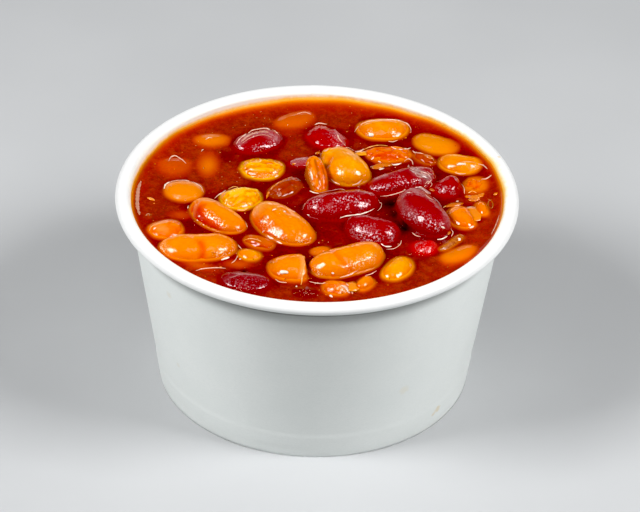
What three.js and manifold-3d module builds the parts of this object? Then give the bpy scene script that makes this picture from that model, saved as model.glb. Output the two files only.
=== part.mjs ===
// Bowl of baked beans: white beans and kidney beans in tomato sauce, in a round white paper tub.
// Millimetres, +Z up. The origin is the middle of the tub's foot, on the surface that it stands on.
// -Y is the front.

import * as THREE from 'three';
import { mergeVertices } from 'three/addons/utils/BufferGeometryUtils.js';
import Module from 'manifold-3d';

const wasm = await Module();
wasm.setup();

// ---- driving dimensions of the tub ----

const RIM_DIAMETER = 98;
const RIM_TOP = 51.85;
const ROLL_WIDTH = 3.7;
const ROLL_HEIGHT = 2.84;
const ROLL_END_ANGLE = -125; // degrees, where the rolled edge stops, short of the wall
const FOOT_RADIUS = 38.2;
const WALL_SLOPE = 0.1515; // outward run for each millimetre of height
const PAPER = 0.5;
const GAP = 0.3; // clearance between neighbouring pieces of paper, and from the filling to the paper
const HEM_TOP = 6;
const DISC_TOP = 7;
const SKIRT_BOTTOM = 0.8;
const TUB_SIDES = 64;
const ROLL_STEPS = { outside: 10, inside: 7 };

// ---- driving dimensions of the filling ----

const SAUCE_LEVEL = 48.8;
const SAUCE_EDGE_RISE = 1.2; // the sauce climbs the wall by this much
const SAUCE_EDGE_WIDTH = 2.6;
const POCKET_MARGIN = 0.4; // between a bean and the hollow that it lies in

// A whole bean of each kind, and a strip of loose skin. blunt is the power of the outline: 2 is an
// ellipse, more is a fuller end.
const KINDS = {
  white_bean: { length: 16, width: 10, height: 7.5, bend: 0.9, blunt: 2.3, colour: 0xf08a10 },
  kidney_bean: { length: 18, width: 9.5, height: 8, bend: 1.1, blunt: 2.4, colour: 0x8a0d1c },
  skin_strip: { length: 8.5, width: 2.6, height: 2, bend: 0.2, blunt: 3, colour: 0xb85a0c },
};

// The pieces that show, each kind from the back to the front. at is the middle of the piece in plan, rise
// is how far its crown stands above the sauce, and turn is the heading of its long axis in degrees. scale
// is its length, width and height against those of its kind. tip lifts the end that the axis points to,
// by degrees. taper makes that end wider than the other. cleft is the depth of the crease between two
// lobes. A broken bean is cut off at cut, which is 0 at its middle and 1 at its end.
const PIECES = {
  white_bean: [
    { at: [-6, 36.6], rise: 0.6, turn: 33, scale: [0.75, 0.8, 0.75] },
    { at: [16, 32.9], rise: 2.2, turn: 2, scale: [0.84, 0.95, 0.87] },
    { at: [29.2, 26.8], rise: 1.4, turn: -28, scale: [0.8, 0.85, 0.8] },
    { at: [35.1, 17.7], rise: 2.2, turn: -14, scale: [0.7, 0.8, 0.8] },
    { at: [-26.5, 26.8], rise: 0.3, turn: 5, scale: [0.6, 0.7, 0.65] },
    { at: [-35.2, 14.5], rise: 0.4, turn: 5, scale: [0.6, 0.95, 0.65] },
    { at: [-13.7, 14], rise: 1.8, turn: -2, scale: [0.68, 0.95, 0.8] },
    { at: [-32.6, 3.6], rise: 1.6, turn: -9, scale: [0.62, 0.95, 0.8] },
    { at: [-18.5, 0.4], rise: 2.2, turn: 17, scale: [0.66, 0.95, 0.85] },
    { at: [-24.1, -8], rise: 3.4, turn: -44, scale: [1.04, 0.93, 1] },
    { at: [-7.8, 5.6], rise: 1.6, turn: 48, scale: [0.66, 0.72, 0.75] },
    { at: [-0.2, 8.8], rise: 5, turn: 104, scale: [0.66, 0.5, 0.6], tip: 30 },
    { at: [6.6, 14.6], rise: 4.4, turn: -66, scale: [0.94, 1.08, 1.12], taper: 0.12 },
    { at: [17.4, 21.6], rise: 1.4, turn: 2, scale: [0.73, 0.75, 0.7] },
    { at: [26.2, 20.2], rise: 0.8, turn: -44, scale: [0.43, 0.48, 0.6] },
    { at: [38.8, 8.9], rise: 1, turn: -22, scale: [0.42, 0.9, 0.75] },
    { at: [35, -5.4], rise: 1.8, turn: -75, scale: [0.64, 0.75, 0.85] },
    { at: [40.1, -1.6], rise: 1.2, turn: -78, scale: [0.4, 0.34, 0.55] },
    { at: [-36.2, -13.3], rise: 1.5, turn: 23, scale: [0.56, 0.85, 0.8] },
    { at: [-28.2, -21.2], rise: 3.4, turn: 5, scale: [1.18, 1.05, 1.05], cleft: 0.5 },
    { at: [-8.2, -10.8], rise: 4, turn: -50, scale: [1.2, 1.15, 1.12] },
    { at: [-13.7, -17.8], rise: 1.2, turn: -28, scale: [0.52, 0.55, 0.65] },
    { at: [-15.8, -23.1], rise: 1, turn: -17, scale: [0.38, 0.5, 0.6] },
    { at: [-4.7, -28.3], rise: 2.8, turn: 8, scale: [0.86, 1.1, 1.08], cut: 0.3 },
    { at: [7.6, -25.6], rise: 4.2, turn: 27, scale: [1.2, 1.08, 1.12], cleft: 0.5 },
    { at: [5, -36.1], rise: 1.5, turn: -12, scale: [0.46, 0.65, 0.75] },
    { at: [11.6, -34.3], rise: 1.6, turn: 57, scale: [0.4, 0.46, 0.7] },
    { at: [19.4, -27.5], rise: 1.6, turn: 66, scale: [0.68, 0.72, 0.8] },
    { at: [34.4, -20.8], rise: 0.6, turn: 39, scale: [0.7, 0.75, 0.7] },
    { at: [1.2, -20.8], rise: 0.8, turn: 13, scale: [0.32, 0.36, 0.5] },
  ],
  kidney_bean: [
    { at: [-14.8, 25.6], rise: 2.5, turn: 30, scale: [0.72, 0.92, 0.85] },
    { at: [2, 28.2], rise: 1.8, turn: -40, scale: [0.62, 1, 0.8] },
    { at: [-4.2, 17.4], rise: 0.7, turn: 20, scale: [0.42, 0.6, 0.6] },
    { at: [20.6, 9.1], rise: 3.2, turn: 18, scale: [0.98, 0.92, 0.85], tip: 5 },
    { at: [31.2, 7.4], rise: 2.6, turn: 3, scale: [0.5, 0.8, 0.8], tip: 45 },
    { at: [6, -2.8], rise: 4.4, turn: 13, scale: [1.05, 0.97, 1] },
    { at: [25.6, -5.6], rise: 5.2, turn: -62, scale: [1.02, 1.14, 1.12] },
    { at: [13.4, -12.3], rise: 3.6, turn: -16, scale: [0.77, 0.97, 0.95] },
    { at: [25.2, -18], rise: 1.4, turn: -23, scale: [0.5, 0.75, 0.75], tip: 40 },
    { at: [-16.6, -34.2], rise: 1.5, turn: -8, scale: [0.75, 0.9, 0.8] },
    { at: [-2.4, -37.8], rise: 0.5, turn: -4, scale: [0.38, 0.6, 0.6] },
  ],
  skin_strip: [
    { at: [32.5, -16.4], rise: 0.8, turn: 53, scale: [1, 1, 1] },
  ],
};

const LONG_PIECE = 13; // millimetres, from where a piece gets the finer mesh
const LONG_FACETS = { around: 12, along: 8 };
const SHORT_FACETS = { around: 8, along: 6 };
const CLEFT_REACH = 0.2; // of half the length, to each side of the crease
const BEND_CENTRE = 0.4; // where along a bean its bent middle line crosses its straight axis, squared

// ---- materials ----

const PAPER_ROUGHNESS = 0.6;
const WET_ROUGHNESS = 0.2;

function plainMaterial(colour, roughness) {
  return new THREE.MeshStandardMaterial({ color: colour, roughness, metalness: 0 });
}

const wallMaterial = plainMaterial(0xeef0ee, PAPER_ROUGHNESS);
const baseMaterial = plainMaterial(0xe4e6e2, PAPER_ROUGHNESS);
const sauceMaterial = plainMaterial(0xa82006, WET_ROUGHNESS);

// ---- helpers ----

function wallOuter(z) {
  return FOOT_RADIUS + WALL_SLOPE * z;
}

function wallInner(z) {
  return wallOuter(z) - PAPER * Math.hypot(1, WALL_SLOPE);
}

// A solid of revolution about +Z from an outline of [radius, height] points. The outline either starts
// and ends on the axis or closes on itself.
function revolve(outline) {
  const points = outline.map(([radius, height]) => new THREE.Vector2(radius, height));
  const geometry = new THREE.LatheGeometry(points, TUB_SIDES);
  geometry.rotateX(Math.PI / 2);
  return geometry;
}

function arcPoints([centreRadius, centreHeight], [halfWidth, halfHeight], fromDegrees, toDegrees, steps) {
  const points = [];
  for (let i = 0; i <= steps; i += 1) {
    const angle = THREE.MathUtils.degToRad(fromDegrees + (toDegrees - fromDegrees) * (i / steps));
    points.push([centreRadius + halfWidth * Math.cos(angle), centreHeight + halfHeight * Math.sin(angle)]);
  }
  return points;
}

// A copy with only positions, whose triangles share their vertices.
function bareGeometry(geometry) {
  const bare = geometry.clone();
  bare.deleteAttribute('normal');
  bare.deleteAttribute('uv');
  return mergeVertices(bare, 1e-4);
}

function toSolid(geometry) {
  const bare = bareGeometry(geometry);
  const vertProperties = new Float32Array(bare.attributes.position.array);
  const triVerts = new Uint32Array(bare.index.array);
  return new wasm.Manifold(new wasm.Mesh({ numProp: 3, vertProperties, triVerts }));
}

function toGeometry(solid) {
  const { vertProperties, triVerts } = solid.getMesh();
  const geometry = new THREE.BufferGeometry();
  geometry.setAttribute('position', new THREE.BufferAttribute(new Float32Array(vertProperties), 3));
  geometry.setIndex(new THREE.BufferAttribute(new Uint32Array(triVerts), 1));
  geometry.computeVertexNormals();
  return geometry;
}

function addMesh(parent, name, geometry, material) {
  const mesh = new THREE.Mesh(geometry, material);
  mesh.name = name;
  parent.add(mesh);
  return mesh;
}

// ---- the paper tub ----

// The side wall is one sheet: folded in round the foot as a hem, and rolled outward at the rim.
function wallGeometry() {
  const rollCentre = [RIM_DIAMETER / 2 - ROLL_WIDTH / 2, RIM_TOP - ROLL_HEIGHT / 2];
  const outerHalf = [ROLL_WIDTH / 2, ROLL_HEIGHT / 2];
  const innerHalf = [ROLL_WIDTH / 2 - PAPER, ROLL_HEIGHT / 2 - PAPER];
  const hemOuter = (z) => wallInner(z) - PAPER - 2 * GAP;
  const hemInner = (z) => hemOuter(z) - PAPER;

  return revolve([
    [wallOuter(0), 0],
    ...arcPoints(rollCentre, innerHalf, 180, ROLL_END_ANGLE, ROLL_STEPS.inside),
    ...arcPoints(rollCentre, outerHalf, ROLL_END_ANGLE, 180, ROLL_STEPS.outside),
    [wallInner(PAPER), PAPER],
    [hemOuter(PAPER), PAPER],
    [hemOuter(HEM_TOP), HEM_TOP],
    [hemInner(HEM_TOP), HEM_TOP],
    [hemInner(0), 0],
    [wallOuter(0), 0],
  ]);
}

// The base is a disc with its edge turned down into a skirt, which stands in the fold of the hem.
function baseGeometry() {
  const skirtOuter = (z) => wallInner(z) - GAP;
  const skirtInner = (z) => skirtOuter(z) - PAPER;
  const discBottom = DISC_TOP - PAPER;

  return revolve([
    [0, discBottom],
    [skirtInner(discBottom), discBottom],
    [skirtInner(SKIRT_BOTTOM), SKIRT_BOTTOM],
    [skirtOuter(SKIRT_BOTTOM), SKIRT_BOTTOM],
    [skirtOuter(DISC_TOP), DISC_TOP],
    [0, DISC_TOP],
  ]);
}

// ---- the filling ----

// The tub full of sauce, up to its level, before the beans are cut out of it.
function sauceBody() {
  const bottom = DISC_TOP + GAP;
  const edgeTop = SAUCE_LEVEL + SAUCE_EDGE_RISE;
  const edgeRadius = wallInner(edgeTop) - GAP;

  return revolve([
    [0, bottom],
    [wallInner(bottom) - GAP, bottom],
    [edgeRadius, edgeTop],
    [edgeRadius - SAUCE_EDGE_WIDTH / 3, SAUCE_LEVEL + SAUCE_EDGE_RISE / 3],
    [edgeRadius - SAUCE_EDGE_WIDTH, SAUCE_LEVEL],
    [0, SAUCE_LEVEL],
  ]);
}

// Half the length, width and height of a piece.
function halfSize(piece, kind) {
  return new THREE.Vector3(
    (kind.length * piece.scale[0]) / 2,
    (kind.width * piece.scale[1]) / 2,
    (kind.height * piece.scale[2]) / 2,
  );
}

// One piece about its own middle, with its length along X, its flat seam upright and its hollow side on
// +Y. margin makes it larger all round.
function pieceGeometry(piece, kind, margin) {
  const half = halfSize(piece, kind);
  const { around, along } = 2 * half.x > LONG_PIECE ? LONG_FACETS : SHORT_FACETS;
  const { cut = 1, cleft = 0, taper = 0 } = piece;
  const fullness = 2 / kind.blunt;
  const bend = kind.bend * piece.scale[0];

  const geometry = new THREE.SphereGeometry(1, around, along);
  geometry.rotateZ(-Math.PI / 2);
  const position = geometry.attributes.position;
  for (let i = 0; i < position.count; i += 1) {
    const axial = THREE.MathUtils.clamp(position.getX(i), -1, 1);
    const radial = Math.sqrt(1 - axial * axial);
    const t = Math.sign(axial) * Math.abs(axial) ** fullness;
    const swell = radial > 1e-6 ? (radial ** fullness / radial) * (1 + taper * t) : 0;
    const side = position.getY(i) * swell;
    const up = position.getZ(i) * swell;
    const crease = cleft * Math.exp(-((t / CLEFT_REACH) ** 2));
    position.setXYZ(
      i,
      Math.min(t, cut) * half.x + Math.sign(t) * margin,
      side * (half.y + margin) + bend * (t * t - BEND_CENTRE) - crease * side,
      up * (half.z + margin) - crease * Math.max(up, 0),
    );
  }
  return bareGeometry(geometry);
}

// The place of a piece: tipped about its own width, turned, and lifted until its crown has its rise.
function placePiece(object, piece, kind) {
  const half = halfSize(piece, kind);
  const tip = THREE.MathUtils.degToRad(piece.tip ?? 0);
  const crown = Math.hypot(half.x * Math.sin(tip), half.z * Math.cos(tip));
  object.position.set(piece.at[0], piece.at[1], SAUCE_LEVEL + piece.rise - crown);
  object.rotation.set(0, -tip, THREE.MathUtils.degToRad(piece.turn), 'ZYX');
  object.updateMatrix();
}

// The hollow in the sauce that a piece lies in.
function pocket(piece, kind) {
  const holder = new THREE.Object3D();
  placePiece(holder, piece, kind);
  return toSolid(pieceGeometry(piece, kind, POCKET_MARGIN).applyMatrix4(holder.matrix));
}

// The sauce is what is left of the tub's filling round all the pieces, without loose scraps.
function sauceGeometry() {
  let sauce = toSolid(sauceBody());
  for (const [kindName, pieces] of Object.entries(PIECES)) {
    for (const piece of pieces) {
      sauce = sauce.subtract(pocket(piece, KINDS[kindName]));
    }
  }
  const bodies = sauce.decompose();
  bodies.sort((a, b) => b.volume() - a.volume());
  return toGeometry(bodies[0]);
}

// ---- the whole ----

const bowlOfBeans = new THREE.Group();
addMesh(bowlOfBeans, 'bowl_wall', wallGeometry(), wallMaterial);
addMesh(bowlOfBeans, 'bowl_base', baseGeometry(), baseMaterial);
addMesh(bowlOfBeans, 'sauce', sauceGeometry(), sauceMaterial);

for (const [kindName, pieces] of Object.entries(PIECES)) {
  const kind = KINDS[kindName];
  pieces.forEach((piece, index) => {
    const name = `${kindName}_${String(index + 1).padStart(2, '0')}`;
    const material = plainMaterial(kind.colour, WET_ROUGHNESS);
    placePiece(addMesh(bowlOfBeans, name, pieceGeometry(piece, kind, 0), material), piece, kind);
  });
}

export default bowlOfBeans;
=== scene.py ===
"""The looks of the bowl of baked beans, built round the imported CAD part.

Lengths are millimetres in this file and metres in Blender. -Y is the front. Places that were read off the
photograph are pixels of its 640 x 512 frame, and pixel_ray() turns them into rays of the camera.
"""

import math

import bmesh
import bpy
import numpy as np
from mathutils import Matrix, Vector, noise
from mathutils.bvhtree import BVHTree


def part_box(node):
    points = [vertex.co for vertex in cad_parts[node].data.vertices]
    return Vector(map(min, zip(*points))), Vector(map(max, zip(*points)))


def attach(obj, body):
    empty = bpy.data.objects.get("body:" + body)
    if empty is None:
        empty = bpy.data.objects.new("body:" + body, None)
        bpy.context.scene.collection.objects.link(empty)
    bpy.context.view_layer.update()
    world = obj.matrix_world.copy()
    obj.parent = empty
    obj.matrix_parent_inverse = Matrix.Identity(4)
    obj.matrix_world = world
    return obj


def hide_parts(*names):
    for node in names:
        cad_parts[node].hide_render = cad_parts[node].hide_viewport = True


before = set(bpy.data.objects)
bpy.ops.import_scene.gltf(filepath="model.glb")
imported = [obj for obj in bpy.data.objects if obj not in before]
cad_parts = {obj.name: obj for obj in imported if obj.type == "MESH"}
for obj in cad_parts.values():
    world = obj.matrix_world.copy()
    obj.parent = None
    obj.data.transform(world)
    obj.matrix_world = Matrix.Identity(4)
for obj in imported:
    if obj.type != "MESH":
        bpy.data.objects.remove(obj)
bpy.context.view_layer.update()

MM = 0.001
rng = np.random.default_rng(7)

# ---- camera ----

IMAGE_SIZE = (640, 512)
FOCAL_PIXELS = 4187.67
SENSOR_WIDTH = 36.0
CAMERA_AT = np.array([0.0, -843.265, 618.949])
CAMERA_AIM = np.array([1.068, 1.285, 31.839])
CAMERA_ROLL = math.radians(1.403)


def camera_axes():
    """The camera's right, up and forward directions."""
    forward = CAMERA_AIM - CAMERA_AT
    forward /= np.linalg.norm(forward)
    level_right = np.cross(forward, [0.0, 0.0, 1.0])
    level_right /= np.linalg.norm(level_right)
    level_up = np.cross(level_right, forward)
    c, s = math.cos(CAMERA_ROLL), math.sin(CAMERA_ROLL)
    return level_right * c + level_up * s, level_up * c - level_right * s, forward


RIGHT, UP, FORWARD = camera_axes()


def pixel_ray(pixel):
    """The direction from the camera through a pixel of the photograph."""
    x = (pixel[0] - IMAGE_SIZE[0] / 2) / FOCAL_PIXELS
    y = (pixel[1] - IMAGE_SIZE[1] / 2) / FOCAL_PIXELS
    ray = FORWARD + RIGHT * x - UP * y
    return ray / np.linalg.norm(ray)


def pixel_at_height(pixel, height):
    """The point at a height that a pixel shows."""
    ray = pixel_ray(pixel)
    return CAMERA_AT + ray * ((height - CAMERA_AT[2]) / ray[2])


def add_camera():
    data = bpy.data.cameras.new("camera")
    data.sensor_width = SENSOR_WIDTH
    data.lens = FOCAL_PIXELS / IMAGE_SIZE[0] * SENSOR_WIDTH
    data.clip_start, data.clip_end = 0.05, 20.0
    camera = bpy.data.objects.new("camera", data)
    bpy.context.scene.collection.objects.link(camera)
    axes = np.stack([RIGHT, UP, -FORWARD], 1)
    camera.matrix_world = Matrix.Translation(Vector(CAMERA_AT * MM)) @ Matrix(axes.tolist()).to_4x4()
    bpy.context.scene.camera = camera


# ---- small helpers ----


def smoothstep(low, high, x):
    t = np.clip((np.asarray(x, float) - low) / (high - low), 0.0, 1.0)
    return t * t * (3 - 2 * t)


def waves(azimuth, parts):
    """Waves round the tub, each given by its height, its number of crests and its phase."""
    return sum(high * np.sin(crests * azimuth + phase) for high, crests, phase in parts)


def smooth_max(a, b, reach):
    """The larger of a and b, rounded off where they are within reach of each other."""
    h = np.clip(reach - np.abs(a - b), 0.0, None) / reach
    return np.maximum(a, b) + h * h * reach / 4


def fractal(points, scale, octaves=2, seed=0.0):
    """Perlin noise of about -1 to 1 at each point, with features of about scale millimetres."""
    shift = Vector((seed * 7.3, seed * -3.1, seed * 5.7))
    out = np.empty(len(points))
    for i, p in enumerate(points):
        q = Vector(p) / scale + shift
        value, weight = 0.0, 1.0
        for _ in range(octaves):
            value += weight * noise.noise(q)
            q = q * 2.03
            weight *= 0.5
        out[i] = value
    return out


def distance_to_line(points, line):
    """The distance from each point to a line of points."""
    best = np.full(len(points), 1e9)
    for a, b in zip(line[:-1], line[1:]):
        step = b - a
        along = np.clip(((points - a) @ step) / max(step @ step, 1e-9), 0, 1)
        best = np.minimum(best, np.linalg.norm(points - a - along[:, None] * step, axis=1))
    if len(line) == 1:
        best = np.linalg.norm(points - line[0], axis=1)
    return best


def vertex_normals(vertices, faces):
    """Area-weighted normals at the vertices. faces is a list of index lists, of quads and triangles."""
    normals = np.zeros_like(vertices)
    for sides in (4, 3):
        group = np.array([f for f in faces if len(f) == sides], int).reshape(-1, sides)
        v = vertices[group]
        n = np.cross(v[:, -2] - v[:, 0], v[:, -1] - v[:, sides - 3])
        for k in range(sides):
            np.add.at(normals, group[:, k], n)
    return normals / np.maximum(np.linalg.norm(normals, axis=1), 1e-12)[:, None]


def band(first, second):
    """The quads between two closed rows of vertex numbers."""
    return list(zip(first, second, [*second[1:], second[0]], [*first[1:], first[0]]))


def make_object(name, vertices, faces, material, attributes=None, replaces=None):
    """A smooth-shaded piece that rides on the one body. Colour attributes have three columns."""
    mesh = bpy.data.meshes.new(name)
    mesh.from_pydata((vertices * MM).tolist(), [], faces)
    mesh.polygons.foreach_set("use_smooth", [True] * len(mesh.polygons))
    for key, values in (attributes or {}).items():
        if values.ndim == 1:
            attribute = mesh.attributes.new(key, "FLOAT", "POINT")
            attribute.data.foreach_set("value", values.astype(np.float32))
        else:
            attribute = mesh.attributes.new(key, "FLOAT_COLOR", "POINT")
            rgba = np.ones((len(values), 4), np.float32)
            rgba[:, :3] = values
            attribute.data.foreach_set("color", rgba.ravel())
    mesh.materials.append(material)
    mesh.update()
    piece = bpy.data.objects.new(name, mesh)
    bpy.context.scene.collection.objects.link(piece)
    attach(piece, "root")
    if replaces:
        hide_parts(replaces)


# ---- node helpers ----


class Nodes:
    """Builds a material's node tree in few lines."""

    def __init__(self, name):
        self.material = bpy.data.materials.new(name)
        self.material.use_nodes = True
        self.tree = self.material.node_tree
        self.tree.nodes.clear()
        self.output = self.tree.nodes.new("ShaderNodeOutputMaterial")
        self.shader = self.tree.nodes.new("ShaderNodeBsdfPrincipled")
        self.tree.links.new(self.shader.outputs[0], self.output.inputs["Surface"])
        self.place = self.tree.nodes.new("ShaderNodeTexCoord").outputs["Object"]

    def put(self, socket, value):
        if isinstance(value, bpy.types.NodeSocket):
            self.tree.links.new(value, socket)
        elif isinstance(value, (tuple, list)) and len(value) == 3 and socket.type == "RGBA":
            socket.default_value = (*value, 1.0)
        else:
            socket.default_value = value

    def set(self, **values):
        """Sets the shader's sockets, with _ for a space in a name."""
        for name, value in values.items():
            self.put(self.shader.inputs[name.replace("_", " ")], value)

    def attribute(self, name, output="Fac"):
        node = self.tree.nodes.new("ShaderNodeAttribute")
        node.attribute_name = name
        return node.outputs[output]

    def math(self, operation, a, b):
        node = self.tree.nodes.new("ShaderNodeMath")
        node.operation = operation
        self.put(node.inputs[0], a)
        self.put(node.inputs[1], b)
        return node.outputs[0]

    def ramp(self, value, low, high, to_low=0.0, to_high=1.0):
        node = self.tree.nodes.new("ShaderNodeMapRange")
        node.interpolation_type = "SMOOTHSTEP"
        for socket, item in zip(node.inputs, (value, low, high, to_low, to_high)):
            self.put(socket, item)
        return node.outputs[0]

    def mix(self, factor, a, b, blend="MIX"):
        node = self.tree.nodes.new("ShaderNodeMix")
        node.data_type = "RGBA"
        node.blend_type = blend
        self.put(node.inputs[0], factor)
        self.put(node.inputs[6], a)
        self.put(node.inputs[7], b)
        return node.outputs[2]

    def noise(self, size, detail=2, roughness=0.5, stretch=None, distortion=0.0, shift=0.0):
        """Noise whose features are about size millimetres wide."""
        node = self.tree.nodes.new("ShaderNodeTexNoise")
        self.put(node.inputs["Vector"], self.moved(stretch, shift))
        self.put(node.inputs["Scale"], 1.0 / (size * MM))
        self.put(node.inputs["Detail"], detail)
        self.put(node.inputs["Roughness"], roughness)
        self.put(node.inputs["Distortion"], distortion)
        return node.outputs["Fac"]

    def cells(self, size, shift=0.0):
        """The distance from the middle of cells about size millimetres wide, against their size."""
        node = self.tree.nodes.new("ShaderNodeTexVoronoi")
        self.put(node.inputs["Vector"], self.moved(None, shift))
        self.put(node.inputs["Scale"], 1.0 / (size * MM))
        return node.outputs["Distance"]

    def moved(self, stretch, shift):
        """The place in the object, stretched, and shifted so that two textures don't coincide."""
        if stretch is None and shift == 0.0:
            return self.place
        node = self.tree.nodes.new("ShaderNodeMapping")
        self.put(node.inputs["Vector"], self.place)
        node.inputs["Scale"].default_value = stretch or (1, 1, 1)
        node.inputs["Location"].default_value = (shift, shift * 0.7, shift * 1.3)
        return node.outputs[0]

    def bump(self, height, depth, strength=1.0, below=None):
        """Bump of that depth in millimetres, over another bump if below is given."""
        node = self.tree.nodes.new("ShaderNodeBump")
        node.inputs["Strength"].default_value = strength
        node.inputs["Distance"].default_value = depth * MM
        self.put(node.inputs["Height"], height)
        if below is not None:
            self.put(node.inputs["Normal"], below)
        return node.outputs[0]


# ---- the paper tub ----

RIM_DIAMETER = 98.0
RIM_TOP = 51.85
ROLL_HALF = (1.85, 1.42)
ROLL_CENTRE = (RIM_DIAMETER / 2 - ROLL_HALF[0], RIM_TOP - ROLL_HALF[1])
ROLL_END = math.radians(-125)
FOOT_RADIUS = 38.2
WALL_SLOPE = 0.1515
PAPER = 0.5
GAP = 0.3
HEM_TOP = 6.0
PAPER_SIDES = 512
SEAM_AZIMUTH = math.radians(92.6)
SEAM_WIDTH = 8.0
SEAM_STEP = 0.22
SEAM_TURN = SEAM_WIDTH / (FOOT_RADIUS + WALL_SLOPE * 25)  # radians, at half the height
SEAM_SIDES = 9
OUTER_TOP, OUTER_ROWS = 50.0, 90
INNER_TOP, INNER_ROWS = 49.5, 16
ROLL_ROWS, INNER_ROLL_ROWS = 44, 28
CREASE_BAND = (7.5, 6.4)  # the wall steps out by CREASE_STEP between these heights, going down
CREASE_STEP = 0.13
PAPER_WAVES = [(0.05, 3, 0.6), (0.03, 7, 2.1)]
WAVY_FROM, WAVY_TO = 3, 49  # the wall waves in and out between these heights, and the rim up and down
RIM_WAVE = 0.6
# Painted shadow: the wall just under the rolled rim is painted darker, in two bands.
RIM_SHADOW_BANDS = [(0.44, 43.2, 46.9), (0.45, 46.7, 47.3)]  # share, and the heights it grows between
# Painted shade on the rolled rim's underside and inside its hollow.
ROLL_PAINTED_SHADE, INNER_ROLL_PAINTED_SHADE = 0.85, 0.9
STAIN_AND_LIGHT_REACH = 2.4
SEAM_HALF_TURN = 0.006  # radians on each side of the seam's edges where the mesh is finer


def wall_outer(z):
    return FOOT_RADIUS + WALL_SLOPE * z


def wall_inner(z):
    return wall_outer(z) - PAPER * math.hypot(1, WALL_SLOPE)


def roll_point(angle, half):
    """The radius and height of a point of the rolled rim, or of its hollow, by the half sizes given."""
    return ROLL_CENTRE[0] + half[0] * math.cos(angle), ROLL_CENTRE[1] + half[1] * math.sin(angle)


def wall_outline():
    """The tub's section as (radius, height, and the seam's, the crease's and the painted shade's share
    there).
    """
    points = []
    for z in np.linspace(0, OUTER_TOP, OUTER_ROWS):
        # Painted shadow under the rolled rim.
        painted_shade = sum(share * smoothstep(low, high, z) for share, low, high in RIM_SHADOW_BANDS)
        lift = smoothstep(*CREASE_BAND, z)
        points.append((wall_outer(z), z, 1.0, float(lift), float(painted_shade)))
    inner = (ROLL_HALF[0] - PAPER, ROLL_HALF[1] - PAPER)
    for angle in np.linspace(math.pi, ROLL_END, INNER_ROLL_ROWS):
        points.append((*roll_point(angle, inner), 0, 0, INNER_ROLL_PAINTED_SHADE))
    for angle in np.linspace(ROLL_END, math.pi, ROLL_ROWS):
        lift = float(smoothstep(-2.0, 0.2, angle) * 0.5)
        # Painted shade, darkest on the roll's underside.
        painted_shade = float(ROLL_PAINTED_SHADE * smoothstep(-0.55, -0.95, angle))
        points.append((*roll_point(angle, ROLL_HALF), lift, 0, painted_shade))
    for z in np.linspace(INNER_TOP, PAPER, INNER_ROWS):
        points.append((wall_inner(z), z, 0, 0, 0))
    hem = wall_inner(0) - PAPER - 2 * GAP
    points += [(hem + WALL_SLOPE * PAPER, PAPER, 0, 0, 0), (hem + WALL_SLOPE * HEM_TOP, HEM_TOP, 0, 0, 0)]
    points += [(hem - PAPER + WALL_SLOPE * HEM_TOP, HEM_TOP, 0, 0, 0), (hem - PAPER, 0, 0, 0, 0)]
    return points


def paper_azimuths():
    """Even round the tub, and closer together at the two edges of the lap seam."""
    even = np.linspace(0, 2 * math.pi, PAPER_SIDES, endpoint=False)
    edges = [SEAM_AZIMUTH, SEAM_AZIMUTH - SEAM_TURN]
    extra = np.concatenate([e + np.linspace(-SEAM_HALF_TURN, SEAM_HALF_TURN, SEAM_SIDES) for e in edges])
    return np.unique(np.round(np.concatenate([even, extra % (2 * math.pi)]), 6))


def build_wall(material):
    outline = np.array(wall_outline())
    azimuths = paper_azimuths()
    turn = (azimuths - SEAM_AZIMUTH + math.pi) % (2 * math.pi) - math.pi
    # The lap steps up at its open edge and slopes back into the wall behind it.
    lap = smoothstep(0.0035, 0.0, turn) * smoothstep(-SEAM_TURN - 0.05, -0.03, turn)
    lap = lap * 0.6 + lap * 0.4 * smoothstep(-0.12, 0.0, turn)
    vertices = []
    for a, lifted in zip(azimuths, lap):
        wave = waves(a, PAPER_WAVES)
        radius = outline[:, 0] + outline[:, 2] * lifted * SEAM_STEP + outline[:, 3] * CREASE_STEP
        lift = np.where(outline[:, 1] > WAVY_TO, wave * RIM_WAVE, 0.0)
        radius = radius + np.where((outline[:, 1] > WAVY_FROM) & (outline[:, 1] < WAVY_TO), wave, 0.0)
        vertices.append(np.stack([radius * math.cos(a), radius * math.sin(a), outline[:, 1] + lift], 1))
    vertices = np.concatenate(vertices)
    rows, count = len(azimuths), len(outline)
    faces = []
    for i in range(rows):
        j = (i + 1) % rows
        faces += band(range(i * count, (i + 1) * count), range(j * count, (j + 1) * count))
    out = np.hypot(vertices[:, 0], vertices[:, 1]) - wall_outer(vertices[:, 2])
    # The rolled rim and the inside are painted lighter than the outside wall: partly a whiter coated paper,
    # partly painted light from above.
    bright = np.maximum(smoothstep(49.6, 50.6, vertices[:, 2]), smoothstep(-0.1, -0.4, out))
    inside = (out < -0.1) | (vertices[:, 2] > ROLL_CENTRE[1])
    inside &= np.hypot(vertices[:, 0], vertices[:, 1]) < ROLL_CENTRE[0]
    # The band of paper just above the sauce's edge: a real sauce stain, and painted light on the same band.
    above = vertices[:, 2] - edge_height(np.arctan2(vertices[:, 1], vertices[:, 0]))
    stain_and_painted_light = np.where(inside, np.clip(1 - above / STAIN_AND_LIGHT_REACH, 0, 1), 0.0)
    painted_shade = np.tile(outline[:, 4], rows)
    attributes = {"bright": bright, "painted_shade": painted_shade, "stain_and_painted_light": stain_and_painted_light}
    make_object("tub_wall", vertices, faces, material, attributes, replaces="bowl_wall")


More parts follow.
